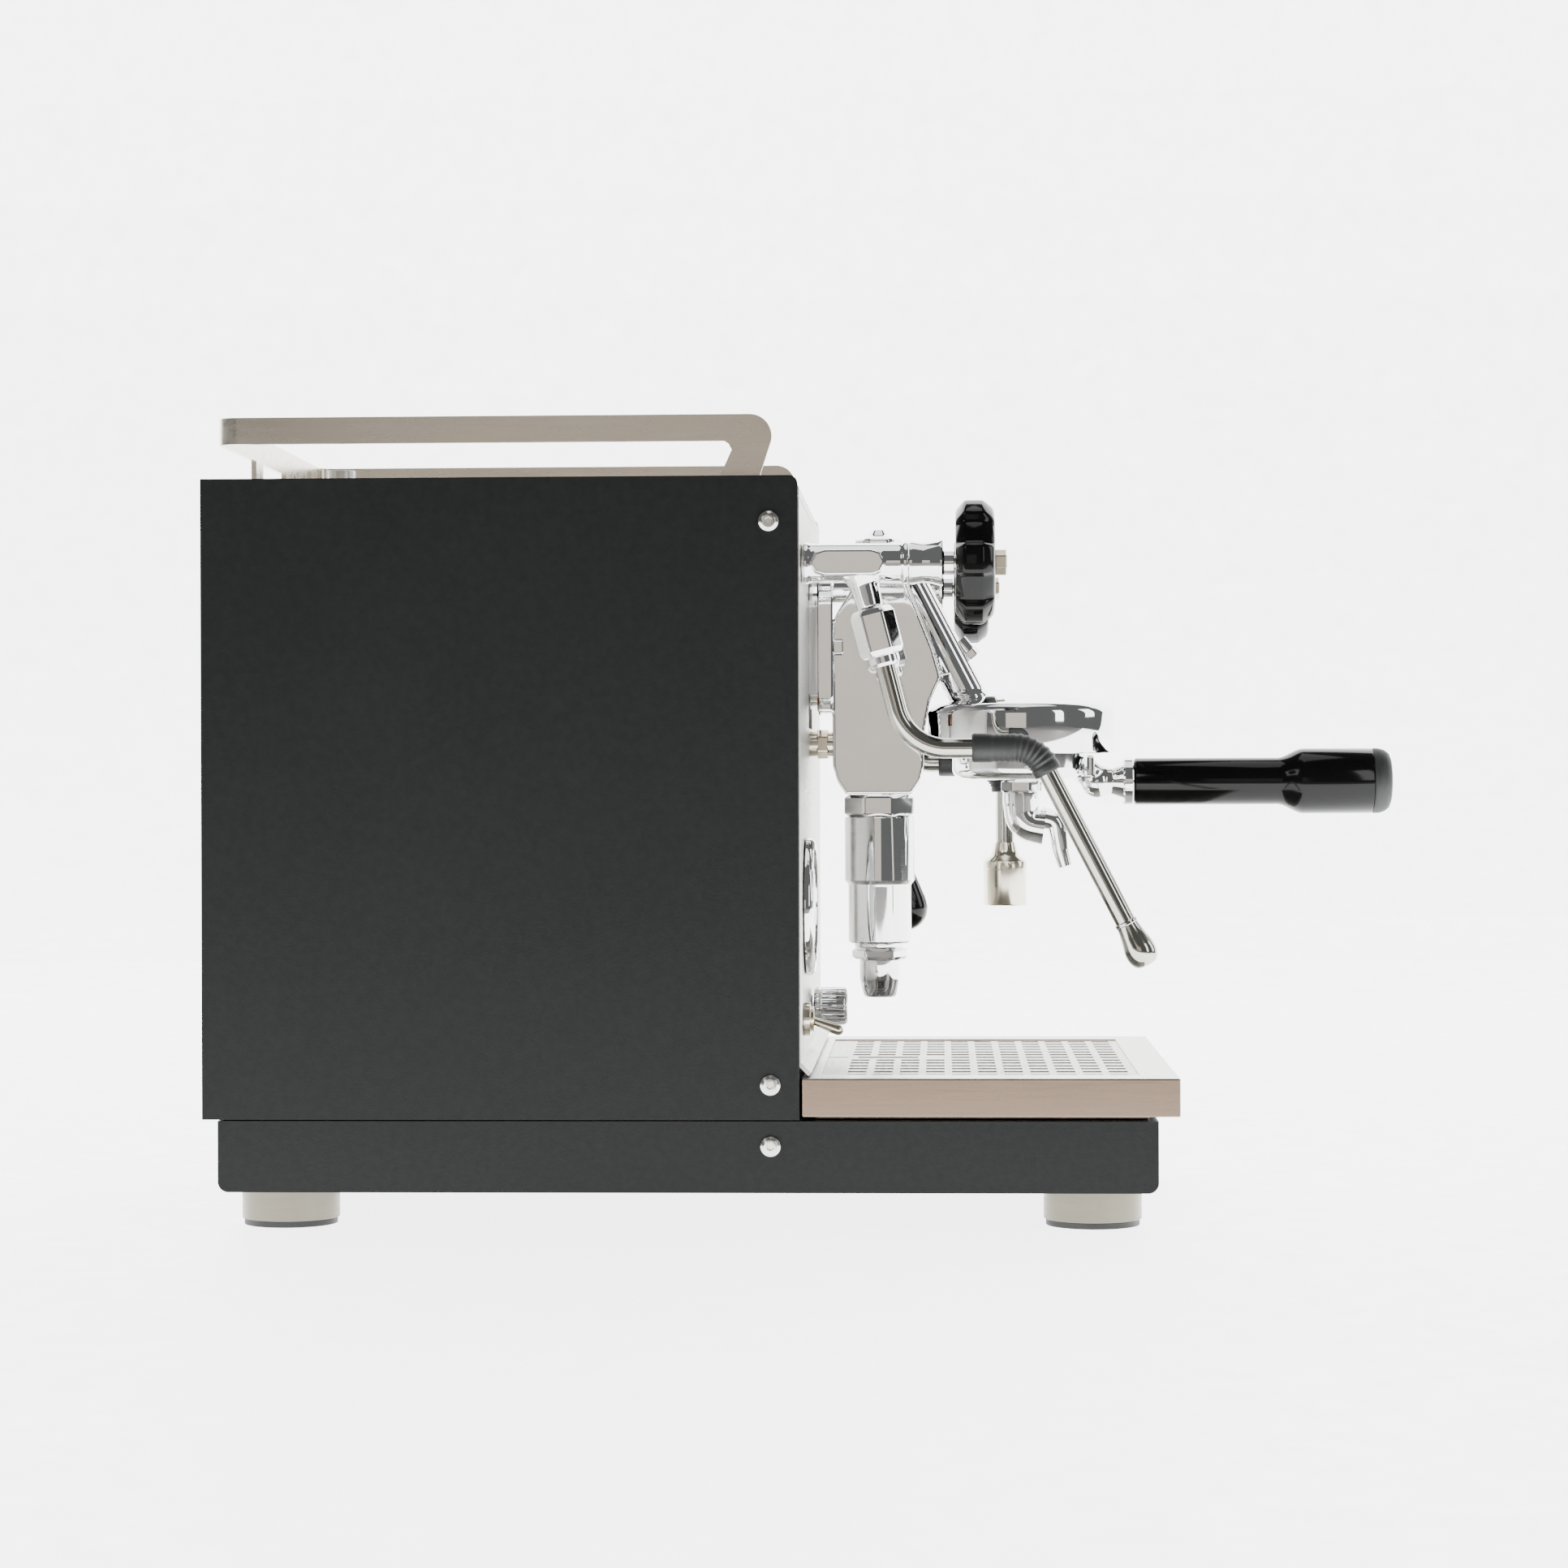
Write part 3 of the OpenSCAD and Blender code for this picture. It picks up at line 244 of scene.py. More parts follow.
def make_materials():
    m = {slot["slot"]: tuple(slot["base_color"][:3]) for slot in RECORD["materials"]}
    return {
        # Two copies of the drip tray's metal: a dark brown one with painted shade for its side faces, and a light
        # grey one with painted light for its top.
        "tray_side_painted_shade": brushed_metal("tray_side_painted_shade", (0.21, 0.15, 0.115), 0.26, (1, 1, 14)),
        "tray_top": brushed_metal("tray_top", (0.60, 0.59, 0.56), 0.3, (14, 1, 1)),
        "black_powder_coat": powder_coat("black_powder_coat", (0.0066, 0.0073, 0.0075)),
        "bronze_metal": brushed_metal("bronze_metal", (0.20, 0.185, 0.15), 0.34, (1, 1, 30)),
        "rubber": moulded("rubber", (0.014, 0.014, 0.015), 0.55, 0.0, 0.25),
        "screw_steel": brushed_metal("screw_steel", (0.66, 0.65, 0.62), 0.22, (1, 1, 1)),
        "stainless": brushed_metal("stainless", (0.50, 0.49, 0.465), 0.36),
        "rail_steel": brushed_metal("rail_steel", (0.66, 0.60, 0.52), 0.26, (9, 1, 9), 20.0, 0.008),
        "black_plastic": moulded("black_plastic", m["black_plastic"], 0.45),
        "copper": brushed_metal("copper", (0.72, 0.38, 0.24), 0.3, (1, 6, 1)),
        "zinc_steel": brushed_metal("zinc_steel", m["zinc_steel"], 0.4, (1, 1, 6)),
        "brass": brushed_metal("brass", m["brass"], 0.28, (1, 1, 8)),
        "pump_red": moulded("pump_red", m["pump_red"], 0.4),
        "chrome": mirror_metal("chrome", (0.86, 0.86, 0.865)),
        "dial_white": moulded("dial_white", (0.8, 0.79, 0.75), 0.35, 0.0, 0.02),
        "clear_glass": clear("clear_glass", (0.96, 0.98, 1.0), 0.02),
        "nickel": mirror_metal("nickel", (0.72, 0.66, 0.54), 0.14),
        "clear_plastic": clear("clear_plastic", (0.85, 0.9, 0.92), 0.12, 0.8),
        "needle_red": moulded("needle_red", m["needle_red"], 0.3),
        "gloss_black": moulded("gloss_black", (0.002, 0.002, 0.0021), 0.12, 0.0, 0.01, 90, 0.22),
        "polished_steel": mirror_metal("polished_steel", (0.47, 0.46, 0.42), 0.09),
    }


# ---------------------------------------------------------------- mesh tools

def link_piece(name, mesh, body, slot, replaced=(), sharp=35.0):
    """Turns a mesh into a piece that rides on a body, with its slot's material."""
    mesh.materials.clear()
    mesh.materials.append(MATERIALS[slot])
    mesh.shade_smooth()
    mesh.set_sharp_from_angle(angle=math.radians(sharp))
    piece = bpy.data.objects.new(name, mesh)
    bpy.context.scene.collection.objects.link(piece)
    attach(piece, body)
    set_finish(piece, slot)
    if replaced:
        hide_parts(*replaced)
    return piece


def to_mesh(name, bm):
    bmesh.ops.recalc_face_normals(bm, faces=bm.faces)
    mesh = bpy.data.meshes.new(name)
    bm.to_mesh(mesh)
    bm.free()
    return mesh


def bevel(piece, width, segments=2, angle=30.0):
    mod = piece.modifiers.new("edges", "BEVEL")
    mod.width = width
    mod.segments = segments
    mod.limit_method = "ANGLE"
    mod.angle_limit = math.radians(angle)
    mod.harden_normals = True
    mod.use_clamp_overlap = True


def refined(node, width=0.0004, segments=2):
    """A copy of a CAD node with merged facets and softened edges, which stands for it."""
    bm = bmesh.new()
    bm.from_mesh(frame["nodes"][node].data)
    bmesh.ops.remove_doubles(bm, verts=bm.verts, dist=1e-6)
    bmesh.ops.dissolve_limit(bm, angle_limit=math.radians(0.4), verts=bm.verts, edges=bm.edges)
    piece = link_piece(node + "_finish", to_mesh(node, bm), BODY_OF[node], SLOT_OF[node], [node])
    if width:
        bevel(piece, width, segments)
    return piece


def frame_of(origin, axis):
    """A matrix that takes +Z to an axis and the origin to a place, with +Y kept upright."""
    z = Vector(axis).normalized()
    x = Vector((1, 0, 0)) if abs(z.x) < 0.9 else Vector((0, 1, 0))
    y = z.cross(x).normalized()
    x = y.cross(z)
    return Matrix.Translation(Vector(origin)) @ Matrix((x, y, z)).transposed().to_4x4()


def lathe_into(bm, outline, place, steps=96, shape=None):
    """Turns an outline of (radius, height) in mm about a frame's Z. shape scales it by angle."""
    rings = []
    for r, h in outline:
        if r < 1e-6:
            rings.append([bm.verts.new(place @ Vector((0, 0, h * MM)))])
            continue
        ring = []
        for i in range(steps):
            a = 2 * math.pi * i / steps
            k = shape(a, r) if shape else 1.0
            spot = Vector((r * k * math.cos(a) * MM, r * k * math.sin(a) * MM, h * MM))
            ring.append(bm.verts.new(place @ spot))
        rings.append(ring)
    for low, high in zip(rings, rings[1:]):
        for i in range(steps):
            j = (i + 1) % steps
            if len(low) == 1 and len(high) > 1:
                bm.faces.new((low[0], high[j], high[i]))
            elif len(high) == 1 and len(low) > 1:
                bm.faces.new((low[i], low[j], high[0]))
            elif len(low) > 1:
                bm.faces.new((low[i], low[j], high[j], high[i]))


def arc(cx, cy, r, start, end, count=8):
    """Points along an arc, in degrees, as (radius, height) pairs."""
    return [
        (cx + r * math.cos(math.radians(start + (end - start) * i / count)),
         cy + r * math.sin(math.radians(start + (end - start) * i / count)))
        for i in range(count + 1)
    ]


def sweep_into(bm, points, radius, steps=48, cap=True):
    """A round rod along points in metres; radius(t) is in metres, t from 0 to 1 along it."""
    lengths = [0.0]
    for p, q in zip(points, points[1:]):
        lengths.append(lengths[-1] + (q - p).length)
    side = Vector((1, 0, 0))
    rings = []
    for i, p in enumerate(points):
        ahead = (points[min(i + 1, len(points) - 1)] - points[max(i - 1, 0)]).normalized()
        up = ahead.cross(side).normalized()
        flat = up.cross(ahead)
        r = radius(lengths[i] / lengths[-1])
        turns = [2 * math.pi * k / steps for k in range(steps)]
        rings.append([bm.verts.new(p + (flat * math.cos(a) + up * math.sin(a)) * r) for a in turns])
    for low, high in zip(rings, rings[1:]):
        for k in range(steps):
            n = (k + 1) % steps
            bm.faces.new((low[k], low[n], high[n], high[k]))
    if cap:
        bm.faces.new(list(reversed(rings[0])))
        bm.faces.new(rings[-1])


def smooth_path(corners, bends, spacing=0.0012):
    """A path through corners (x, y, z) in metres, rounded at each inner corner by its bend radius."""
    points = [Vector(corners[0])]
    for i in range(1, len(corners) - 1):
        here = Vector(corners[i])
        back = (Vector(corners[i - 1]) - here).normalized()
        ahead = (Vector(corners[i + 1]) - here).normalized()
        half = back.angle(ahead) / 2
        reach = bends[i] / math.tan(half)
        centre = here + (back + ahead).normalized() * bends[i] / math.sin(half)
        first = here + back * reach - centre
        last = here + ahead * reach - centre
        total = first.angle(last)
        count = max(4, int(total * bends[i] / spacing))
        axis = first.cross(last).normalized()
        for k in range(count + 1):
            points.append(centre + Matrix.Rotation(total * k / count, 3, axis) @ first)
    points.append(Vector(corners[-1]))
    full = [points[0]]
    for p, q in zip(points, points[1:]):
        count = max(1, int((q - p).length / (spacing * 3)))
        full += [p.lerp(q, k / count) for k in range(1, count + 1)]
    return full


def lathe(name, outline, place, body, slot, replaced=(), steps=96, sharp=35.0, shape=None):
    bm = bmesh.new()
    lathe_into(bm, outline, place, steps, shape)
    return link_piece(name, to_mesh(name, bm), body, slot, replaced, sharp)


def fused(name, parts, voxel, passes, body, slot, replaced=(), sharp=180.0):
    """Closed shapes melted into one casting: voxel remesh, then smoothing."""
    bm = bmesh.new()
    for part in parts:
        part(bm)
    mesh = to_mesh(name, bm)
    blank = bpy.data.objects.new(name + "_blank", mesh)
    bpy.context.scene.collection.objects.link(blank)
    remesh = blank.modifiers.new("melt", "REMESH")
    remesh.mode = "VOXEL"
    remesh.voxel_size = voxel
    relax = blank.modifiers.new("relax", "SMOOTH")
    relax.factor = 0.5
    relax.iterations = passes
    bpy.context.view_layer.update()
    result = bpy.data.meshes.new_from_object(blank.evaluated_get(bpy.context.evaluated_depsgraph_get()))
    bpy.data.objects.remove(blank)
    return link_piece(name, result, body, slot, replaced, sharp)


def box_into(bm, low, high):
    """A box between two corners in mm."""
    verts = [
        bm.verts.new((x * MM, y * MM, z * MM))
        for z in (low[2], high[2]) for y in (low[1], high[1]) for x in (low[0], high[0])
    ]
    for face in ((0, 2, 3, 1), (4, 5, 7, 6), (0, 1, 5, 4), (2, 6, 7, 3), (0, 4, 6, 2), (1, 3, 7, 5)):
        bm.faces.new([verts[i] for i in face])


def cut(piece, cutters):
    """Subtracts closed shapes from a piece and applies the result."""
    bm = bmesh.new()
    for cutter in cutters:
        cutter(bm)
    tool = bpy.data.objects.new("cutter", to_mesh("cutter", bm))
    bpy.context.scene.collection.objects.link(tool)
    mod = piece.modifiers.new("cut", "BOOLEAN")
    mod.operation = "DIFFERENCE"
    mod.solver = "EXACT"
    mod.object = tool
    bpy.context.view_layer.update()
    result = bpy.data.meshes.new_from_object(piece.evaluated_get(bpy.context.evaluated_depsgraph_get()))
    piece.modifiers.remove(mod)
    bpy.data.objects.remove(tool)
    piece.data = result


MATERIALS = make_materials()
make_world()
make_camera()
PAPER = moulded("paper", (0.82, 0.84, 0.835), 0.6, 0.0, 0.0)
glow(PAPER, (0.945, 0.96, 0.945), 4.6)
make_floor(PAPER, moulded("table", (0.5, 0.48, 0.465), 0.7))
WARM = moulded("warm_card", (0.2, 0.17, 0.15), 0.8)
glow(WARM, (0.94, 0.88, 0.79), 0.55)
add_card("back_wall", (-3.4, 0.38, 0.46), (0, 0.38, 0.46), (1.5, 0.86), WARM)
add_light("window", (-1.9, -2.1, 1.0), (0, -0.05, 0.2), (0.55, 1.5), 12)
add_light("front", (0.1, -2.7, 1.1), (0, -0.1, 0.2), (0.8, 1.5), 16)
add_light("fill", (-1.6, 1.8, 1.6), (0, 0, 0.25), (0.7, 0.9), 9)
add_light("top", (0.1, -0.1, 2.8), (0, 0, 0.2), (1.6, 1.6), 16)


# ---------------------------------------------------------------- places, in mm, all from the frame

def mm_box(node):
    low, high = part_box(node)
    return low / MM, high / MM


def joint(name):
    return next(j for j in frame["joints"] if j["name"] == name)


BELL_Y = joint("portafilter_turn")["pos_m"][1] / MM
BOWL_LOW = mm_box("spout")[1].z + 0.1
CHAMBER_LOW, CHAMBER_HIGH = mm_box("group_chamber")
UPRIGHT_Y = (CHAMBER_LOW.y + CHAMBER_HIGH.y) / 2
GROUP_LOW, GROUP_HIGH = mm_box("group_body")
CAM = joint("brew_lever_lift")["pos_m"]
CAM_Z = CAM[2] / MM
SPOUT_LOW, SPOUT_HIGH = mm_box("spout")
HANDLE_LOW, HANDLE_HIGH = mm_box("portafilter_handle")
HANDLE_Z = (HANDLE_LOW.z + HANDLE_HIGH.z) / 2
BELL_LOW = BOWL_LOW + 13
UP = (0, 0, 1)
AHEAD = (0, -1, 0)
SIDES = (("steam", -1), ("water", 1))


def at(x, y, z, axis=UP):
    return frame_of((x * MM, y * MM, z * MM), axis)


def lathe_part(outline, place, steps=64, shape=None):
    return lambda bm: lathe_into(bm, outline, place, steps, shape)


def rod_part(start, end, r0, r1=None):
    """A closed round bar between two points in mm, as a part of a casting."""
    a, b = Vector(start), Vector(end)
    r1 = r0 if r1 is None else r1
    return lathe_part([(0, 0), (r0, 0), (r1, (b - a).length), (0, (b - a).length)], at(*a, axis=b - a))


def ball_part(centre, r, squash=1.0):
    outline = [
        (r * math.cos(math.radians(t)), r * squash * math.sin(math.radians(t)))
        for t in range(-90, 91, 10)
    ]
    outline[0], outline[-1] = (0, -r * squash), (0, r * squash)
    return lathe_part(outline, at(*centre))


def slab_part(outline, x0, x1):
    """An outline of (y, z) in mm, extruded across the machine."""
    def build(bm):
        near = [bm.verts.new((x0 * MM, y * MM, z * MM)) for y, z in outline]
        far = [bm.verts.new((x1 * MM, y * MM, z * MM)) for y, z in outline]
        bm.faces.new(near)
        bm.faces.new(list(reversed(far)))
        for i in range(len(near)):
            j = (i + 1) % len(near)
            bm.faces.new((near[i], far[i], far[j], near[j]))
    return build


def block_part(low, high):
    return lambda bm: box_into(bm, low, high)


def polygon_shape(sides, corner=0.12):
    """Scales a lathe's radius so that the round turns into a polygon with softened corners."""
    def shape(angle, r):
        a = (angle + math.pi / sides) % (2 * math.pi / sides) - math.pi / sides
        flat = math.cos(math.pi / sides) / math.cos(a)
        return min(flat, 1 - corner * (1 - math.cos(math.pi / sides)))
    return shape


def nut(name, place, r, height, body, slot, sides=6, bore=0.0, replaced=()):
    """A nut with chamfered corners."""
    c = r * 0.09
    outline = [(bore, 0), (r * 0.88, 0), (r, c), (r, height - c), (r * 0.88, height), (bore, height)]
    if bore:
        outline.append(outline[0])
    return lathe(name, outline, place, body, slot, replaced, sides * 16, 25.0, polygon_shape(sides))


# ---------------------------------------------------------------- cabinet, rail, feet

def make_cabinet():
    for node, width in (
        ("side_panel_left", 0.0006), ("side_panel_right", 0.0006), ("base_frame", 0.0012),
        ("base_cover", 0.001), ("front_panel", 0.0004), ("rear_panel", 0.0003), ("top_deck", 0.0004),
        ("cup_rail", 0.0003), ("power_inlet", 0.0005), ("panel_screws", 0.0002), ("foot_soles", 0.0003),
        ("drip_tray", 0.0012), ("tank_lid", 0.0006), ("feet", 0.0008),
        ("pump", 0.0008), ("control_box", 0.0008), ("fill_valve", 0.0005),
    ):
        piece = refined(node, width)
        if node == "drip_tray":
            piece.data.materials.clear()
            piece.data.materials.append(MATERIALS["tray_side_painted_shade"])
            piece.data.materials.append(MATERIALS["tray_top"])
            # Top-facing faces take the light copy and side faces the dark brown one: painted light on the top,
            # painted shade on the sides.
            for face in piece.data.polygons:
                face.material_index = int(abs(face.normal.z) > 0.5)
    for node in ("drip_grate", "water_tank", "boiler", "boiler_element", "boiler_valves",
                 "thermosyphon_pipes", "valve_pipes",
                 "selector_base", "shower_screen", "filter_basket"):
        refined(node, 0.0)


# ---------------------------------------------------------------- valves and wands

def make_star_knob(kind):
    low, high = mm_box(kind + "_knob")
    x, z = (low.x + high.x) / 2, (low.z + high.z) / 2
    depth = high.y - low.y
    r = (high.z - low.z) / 2

    def lobes(angle, radius):
        wave = -math.cos(6 * angle)
        groove = min(1.0, max(0.0, (wave + 0.35) / 0.7))
        groove = groove * groove * (3 - 2 * groove)
        return 1 - 0.105 * groove * (radius / r) ** 3

    outline = [
        (0, 0), (r - 6, 0), (r - 4.5, 0.5), (r - 1.2, 3.2), (r - 0.3, 4.2), (r, 5.2), (r, depth - 6.4),
        (r - 0.3, depth - 5.4), (r - 3.4, depth - 1.6), (r - 4.6, depth - 0.7), (r - 7, depth - 0.2),
        (r - 11, depth), (11.5, depth - 1.0), (9.5, depth - 1.4), (0, depth - 1.4),
    ]
    lathe(kind + "_star", outline, at(x, high.y, z, AHEAD), BODY_OF[kind + "_knob"], "gloss_black",
          [kind + "_knob"], 192, 32.0, lobes)
    stem_low, stem_high = mm_box(kind + "_stem")
    nut(kind + "_knob_nut", at(x, stem_low.y + 5.8, z, AHEAD), 6.1, 5.8, BODY_OF[kind + "_stem"], "nickel",
        6, 0.0, [kind + "_stem"])
    bm = bmesh.new()
    rod_part((x, stem_high.y, z), (x, stem_low.y + 5, z), 3.5)(bm)
    link_piece(kind + "_spindle", to_mesh("spindle", bm), BODY_OF[kind + "_stem"], "nickel")


def make_valve(kind, side):
    knob_low, knob_high = mm_box(kind + "_knob")
    x, z = (knob_low.x + knob_high.x) / 2, (knob_low.z + knob_high.z) / 2
    face = mm_box("front_panel")[1].y - 4.6
    gland = knob_high.y
    wand_joint = joint(kind + "_wand_swing")
    top = Vector(wand_joint["pos_m"]) / MM
    lean = Vector(wand_joint["axis"])
    outer = x + side * 9.6
    plate = [
        (face - 5, z), (face - 7, z + 4.6), (face - 11, z + 5.8), (face - 33, z + 5.8),
        (face - 37, z + 4.6), (face - 39, z), (face - 37, z - 4.6), (face - 33, z - 5.8),
        (face - 11, z - 5.8), (face - 7, z - 4.6),
    ]
    barrel = [(0, 0), (9.2, 0), (9.9, 0.8), (9.9, 3), (9.3, 4.2), (9.3, 47.0), (10.2, 48.0), (10.2, 50.4)]
    casting = fused(kind + "_valve_casting", [
        lathe_part(barrel + [(0, 50.4)], at(x, face, z, AHEAD)),
        slab_part(plate, min(x, outer), max(x, outer)),
        rod_part(top - lean * 0.4, top - lean * 18, 6.1, 7.4),
        ball_part(top - lean * 17, 8.6),
        block_part((x - 6, top.y - 4, z - 8), (x + 6, top.y + 12, z - 4)),
    ], 0.00045, 9, BODY_OF[kind + "_valve"], "chrome", [kind + "_valve"])
    casting["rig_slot"] = "chrome"
    bell_start, bell_length, knob_gap = 50.6, 23.3, 0.6
    bell = [
        (0, 0), (9.9, 0), (10.3, 0.4), (10.35, 2), (9.5, 6.5), (9.7, 10), (10.8, 15), (11.2, 16.2),
        (11.2, 16.9), (10.7, 17.4), (6.2, 17.4), (6.0, 17.8), (5.7, 18.2), (5.7, 23.0),
        (5.2, bell_length), (0, bell_length),
    ]
    scale = (face - bell_start - gland - knob_gap) / bell_length
    lathe(kind + "_valve_bonnet", [(r, h * scale) for r, h in bell], at(x, face - bell_start, z, AHEAD),
          BODY_OF[kind + "_valve"], "chrome")


def make_wand_nut(kind):
    wand_joint = joint(kind + "_wand_swing")
    top = Vector(wand_joint["pos_m"]) / MM
    lean = Vector(wand_joint["axis"])
    body = BODY_OF[kind + "_wand_nut"]
    outline = [
        (4.2, 0), (8.8, 0), (10.0, 1.0), (11.1, 3.0), (11.1, 20.2), (9.8, 22.4), (8.6, 22.9), (4.9, 22.9),
        (4.2, 0),
    ]
    lathe(kind + "_joint_nut", outline, at(*top, axis=lean), body, "chrome", [kind + "_wand_nut"], 96, 25.0,
          polygon_shape(6, 0.3))
    collar = [
        (4.9, 22.8), (7.2, 22.8), (7.5, 23.2), (7.5, 26.4), (6.9, 27.2), (6.6, 27.9), (4.9, 27.9),
        (4.9, 22.8),
    ]
    lathe(kind + "_joint_collar", collar, at(*top, axis=lean), body, "chrome")


def wand_route(kind):
    """The wand's corners and bend radii, from its joint, its grip and its tip."""
    wand_joint = joint(kind + "_wand_swing")
    top = Vector(wand_joint["pos_m"])
    lean = Vector(wand_joint["axis"])
    tube_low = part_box(kind + "_wand")[0]
    grip_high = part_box(kind + "_wand_grip")[1]
    r_grip = 0.007
    run = grip_high.z - r_grip
    first = top + lean * ((top.z - run) / -lean.z)
    if kind == "steam":
        slope = math.radians(27.2)
        end_z = tube_low.z + WAND_R * math.sin(slope)
        end_y = tube_low.y + WAND_R * math.cos(slope)
        second = Vector((top.x, end_y + (run - end_z) * math.tan(slope), run))
        return [top + lean * 0.009, first, second, Vector((top.x, end_y, end_z))], [0, 0.024, 0.016, 0]
    second = Vector((top.x, tube_low.y + WAND_R, run))
    return [top + lean * 0.009, first, second, Vector((top.x, second.y, tube_low.z))], [0, 0.012, 0.016, 0]


WAND_R = 0.0048


def make_wand(kind):
    corners, bends = wand_route(kind)
    path = smooth_path(corners, bends)
    bm = bmesh.new()
    sweep_into(bm, path, lambda t: WAND_R)
    body = BODY_OF[kind + "_wand"]
    link_piece(kind + "_tube", to_mesh("tube", bm), body, "polished_steel", [kind + "_wand"], 60.0)
    grip_low, grip_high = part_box(kind + "_wand_grip")
    held = [p for p in path if p.y < grip_high.y and grip_low.z < p.z - 0.002 and p.z > grip_low.z + 0.002
            and p.y > grip_low.y - 0.05 and p.z <= grip_high.z and p.y <= grip_high.y]
    span = sum((q - p).length for p, q in zip(held, held[1:]))
    fine = []
    for p, q in zip(held, held[1:]):
        fine += [p.lerp(q, k / 4) for k in range(4)]
    fine.append(held[-1])

    def rubber(t):
        """Plain cuffs at both ends and a row of soft rings between them."""
        place = t * span / MM
        if t < 0.004 or t > 0.996:
            return 0.0062
        if place < 9 or place > span / MM - 3.5:
            return 0.0069
        ring = 0.5 - 0.5 * math.cos(2 * math.pi * place / 2.6)
        return 0.0064 + 0.0005 * ring

    bm = bmesh.new()
    sweep_into(bm, fine, rubber)
    link_piece(kind + "_sleeve", to_mesh("sleeve", bm), body, "rubber", [kind + "_wand_grip"], 50.0)


def make_wand_tips():
    corners = wand_route("steam")[0]
    ahead = (corners[3] - corners[2]).normalized()
    end = corners[3] / MM
    outline = [
        (0, -0.5), (5.1, -0.5), (5.5, 0), (5.5, 1.2), (5.2, 1.6), (5.3, 3), (6.2, 8), (7.2, 12.2),
        (7.5, 14.6), (7.5, 16.4), (7.0, 18.8), (6.0, 20.8), (4.6, 22.2), (3.0, 22.6), (0, 22.6),
    ]
    lathe("steam_nozzle", outline, at(*end, axis=ahead), BODY_OF["steam_tip"], "polished_steel",
          ["steam_tip"])
    low, high = mm_box("water_tip")
    x, y = (low.x + high.x) / 2, (low.y + high.y) / 2
    outline = [
        (5.0, 0), (5.4, 0), (5.6, -0.5), (6.4, -4.0), (8.0, -7.2), (11.2, -9.6), (11.5, -10.4),
        (11.5, -14), (11.35, -14.2), (11.5, -14.4), (11.5, -32.6), (11.1, -33.3), (10.0, -33.3),
        (9.6, -32.8), (9.6, -11), (5.0, -9), (5.0, 0),
    ]
    lathe("water_nozzle", outline, at(x, y, high.z), BODY_OF["water_tip"], "nickel", ["water_tip"])


# ---------------------------------------------------------------- brew group

def make_group():
    y, face = UPRIGHT_Y, GROUP_HIGH.y
    low_z = CHAMBER_HIGH.z + 0.3
    top_z = GROUP_HIGH.z
    bell_back = BELL_Y + 45
    cheek = [
        (y + 16.5, low_z), (y + 20.5, low_z + 6), (y + 22.9, low_z + 14), (y + 22.9, top_z - 40),
        (y + 21, top_z - 34), (y + 14.5, top_z - 24), (y + 12.4, top_z - 18), (y + 12.4, top_z),
        (y - 12.4, top_z), (y - 12.4, top_z - 14), (y - 16.6, top_z - 26), (y - 27, top_z - 52),
        (y - 31, top_z - 66), (bell_back + 0.5, BELL_LOW + 26), (bell_back + 3.5, BELL_LOW + 10),
        (y - 22.5, low_z + 14), (y - 20.5, low_z + 6), (y - 16.5, low_z),
    ]
    rim = [(y + 24.5, z) for z in (flange_low(), flange_high())]
    neck_top = (0, y - 13.5, top_z - 15)
    neck_foot = (0, BELL_Y + 26.5, BELL_LOW + 29)
    fused("group_casting", [
        slab_part(cheek, -18.6, 18.6),
        rod_part((0, y, top_z - 26), (0, y, top_z), 12.4),
        rod_part(neck_top, neck_foot, 9.0, 9.4),
        ball_part(neck_top, 9.6),
        ball_part(neck_foot, 10.5, 0.5),
        rod_part((18, y + 0.3, CAM_Z), (21, y + 0.3, CAM_Z), 17.5, 16.5),
        slab_part([(face - 17.5, rim[0][1] + 2), (face - 10, rim[0][1] + 2), (face - 10, rim[1][1] - 2),
                   (face - 17.5, rim[1][1] - 2)], -19, 19),
    ], 0.0006, 14, BODY_OF["group_body"], "chrome", ["group_body"])
    flange_z = (flange_low() + flange_high()) / 2
    half = (flange_high() - flange_low()) / 2

    def stadium(angle, r):
        """A round-ended plate: half as wide as it is high, less its corner radius."""
        across = abs(math.cos(angle)) * half
        return min(1.0, 23.0 / across) if across > 1e-6 else 1.0

    plate = [(0, 0), (half - 0.8, 0), (half, 0.8), (half, 6.6), (half - 1.2, 7.6), (0, 7.6)]
    lathe("group_flange", plate, at(0, face - 10.4, flange_z, AHEAD), BODY_OF["group_body"], "chrome",
          (), 128, 30.0, stadium)
    backing = [(0, 0), (half - 3, 0), (half - 3, 4.6), (0, 4.6)]
    lathe("group_backing", backing, at(0, face - 5.9, flange_z, AHEAD), BODY_OF["group_body"], "chrome",
          (), 128, 30.0, stadium)
    for side in (-1, 1):
        nut(f"flange_nut_{'left' if side < 0 else 'right'}", at(side * 14.5, face - 18, flange_z, AHEAD),
            6.4, 5, BODY_OF["group_body"], "chrome")
    pipe_z = CAM_Z + 3.2
    bm = bmesh.new()
    rod_part((0, face - 5.5, pipe_z), (0, face - 18, pipe_z), 6.4)(bm)
    link_piece("group_lower_pipe", to_mesh("pipe", bm), BODY_OF["group_body"], "nickel")
    nut("group_lower_nut", at(0, face - 9.2, pipe_z, AHEAD), 7.4, 6.0, BODY_OF["group_body"], "nickel")


def flange_low():
    return BELL_LOW + 19.1


def flange_high():
    return BELL_LOW + 87.3


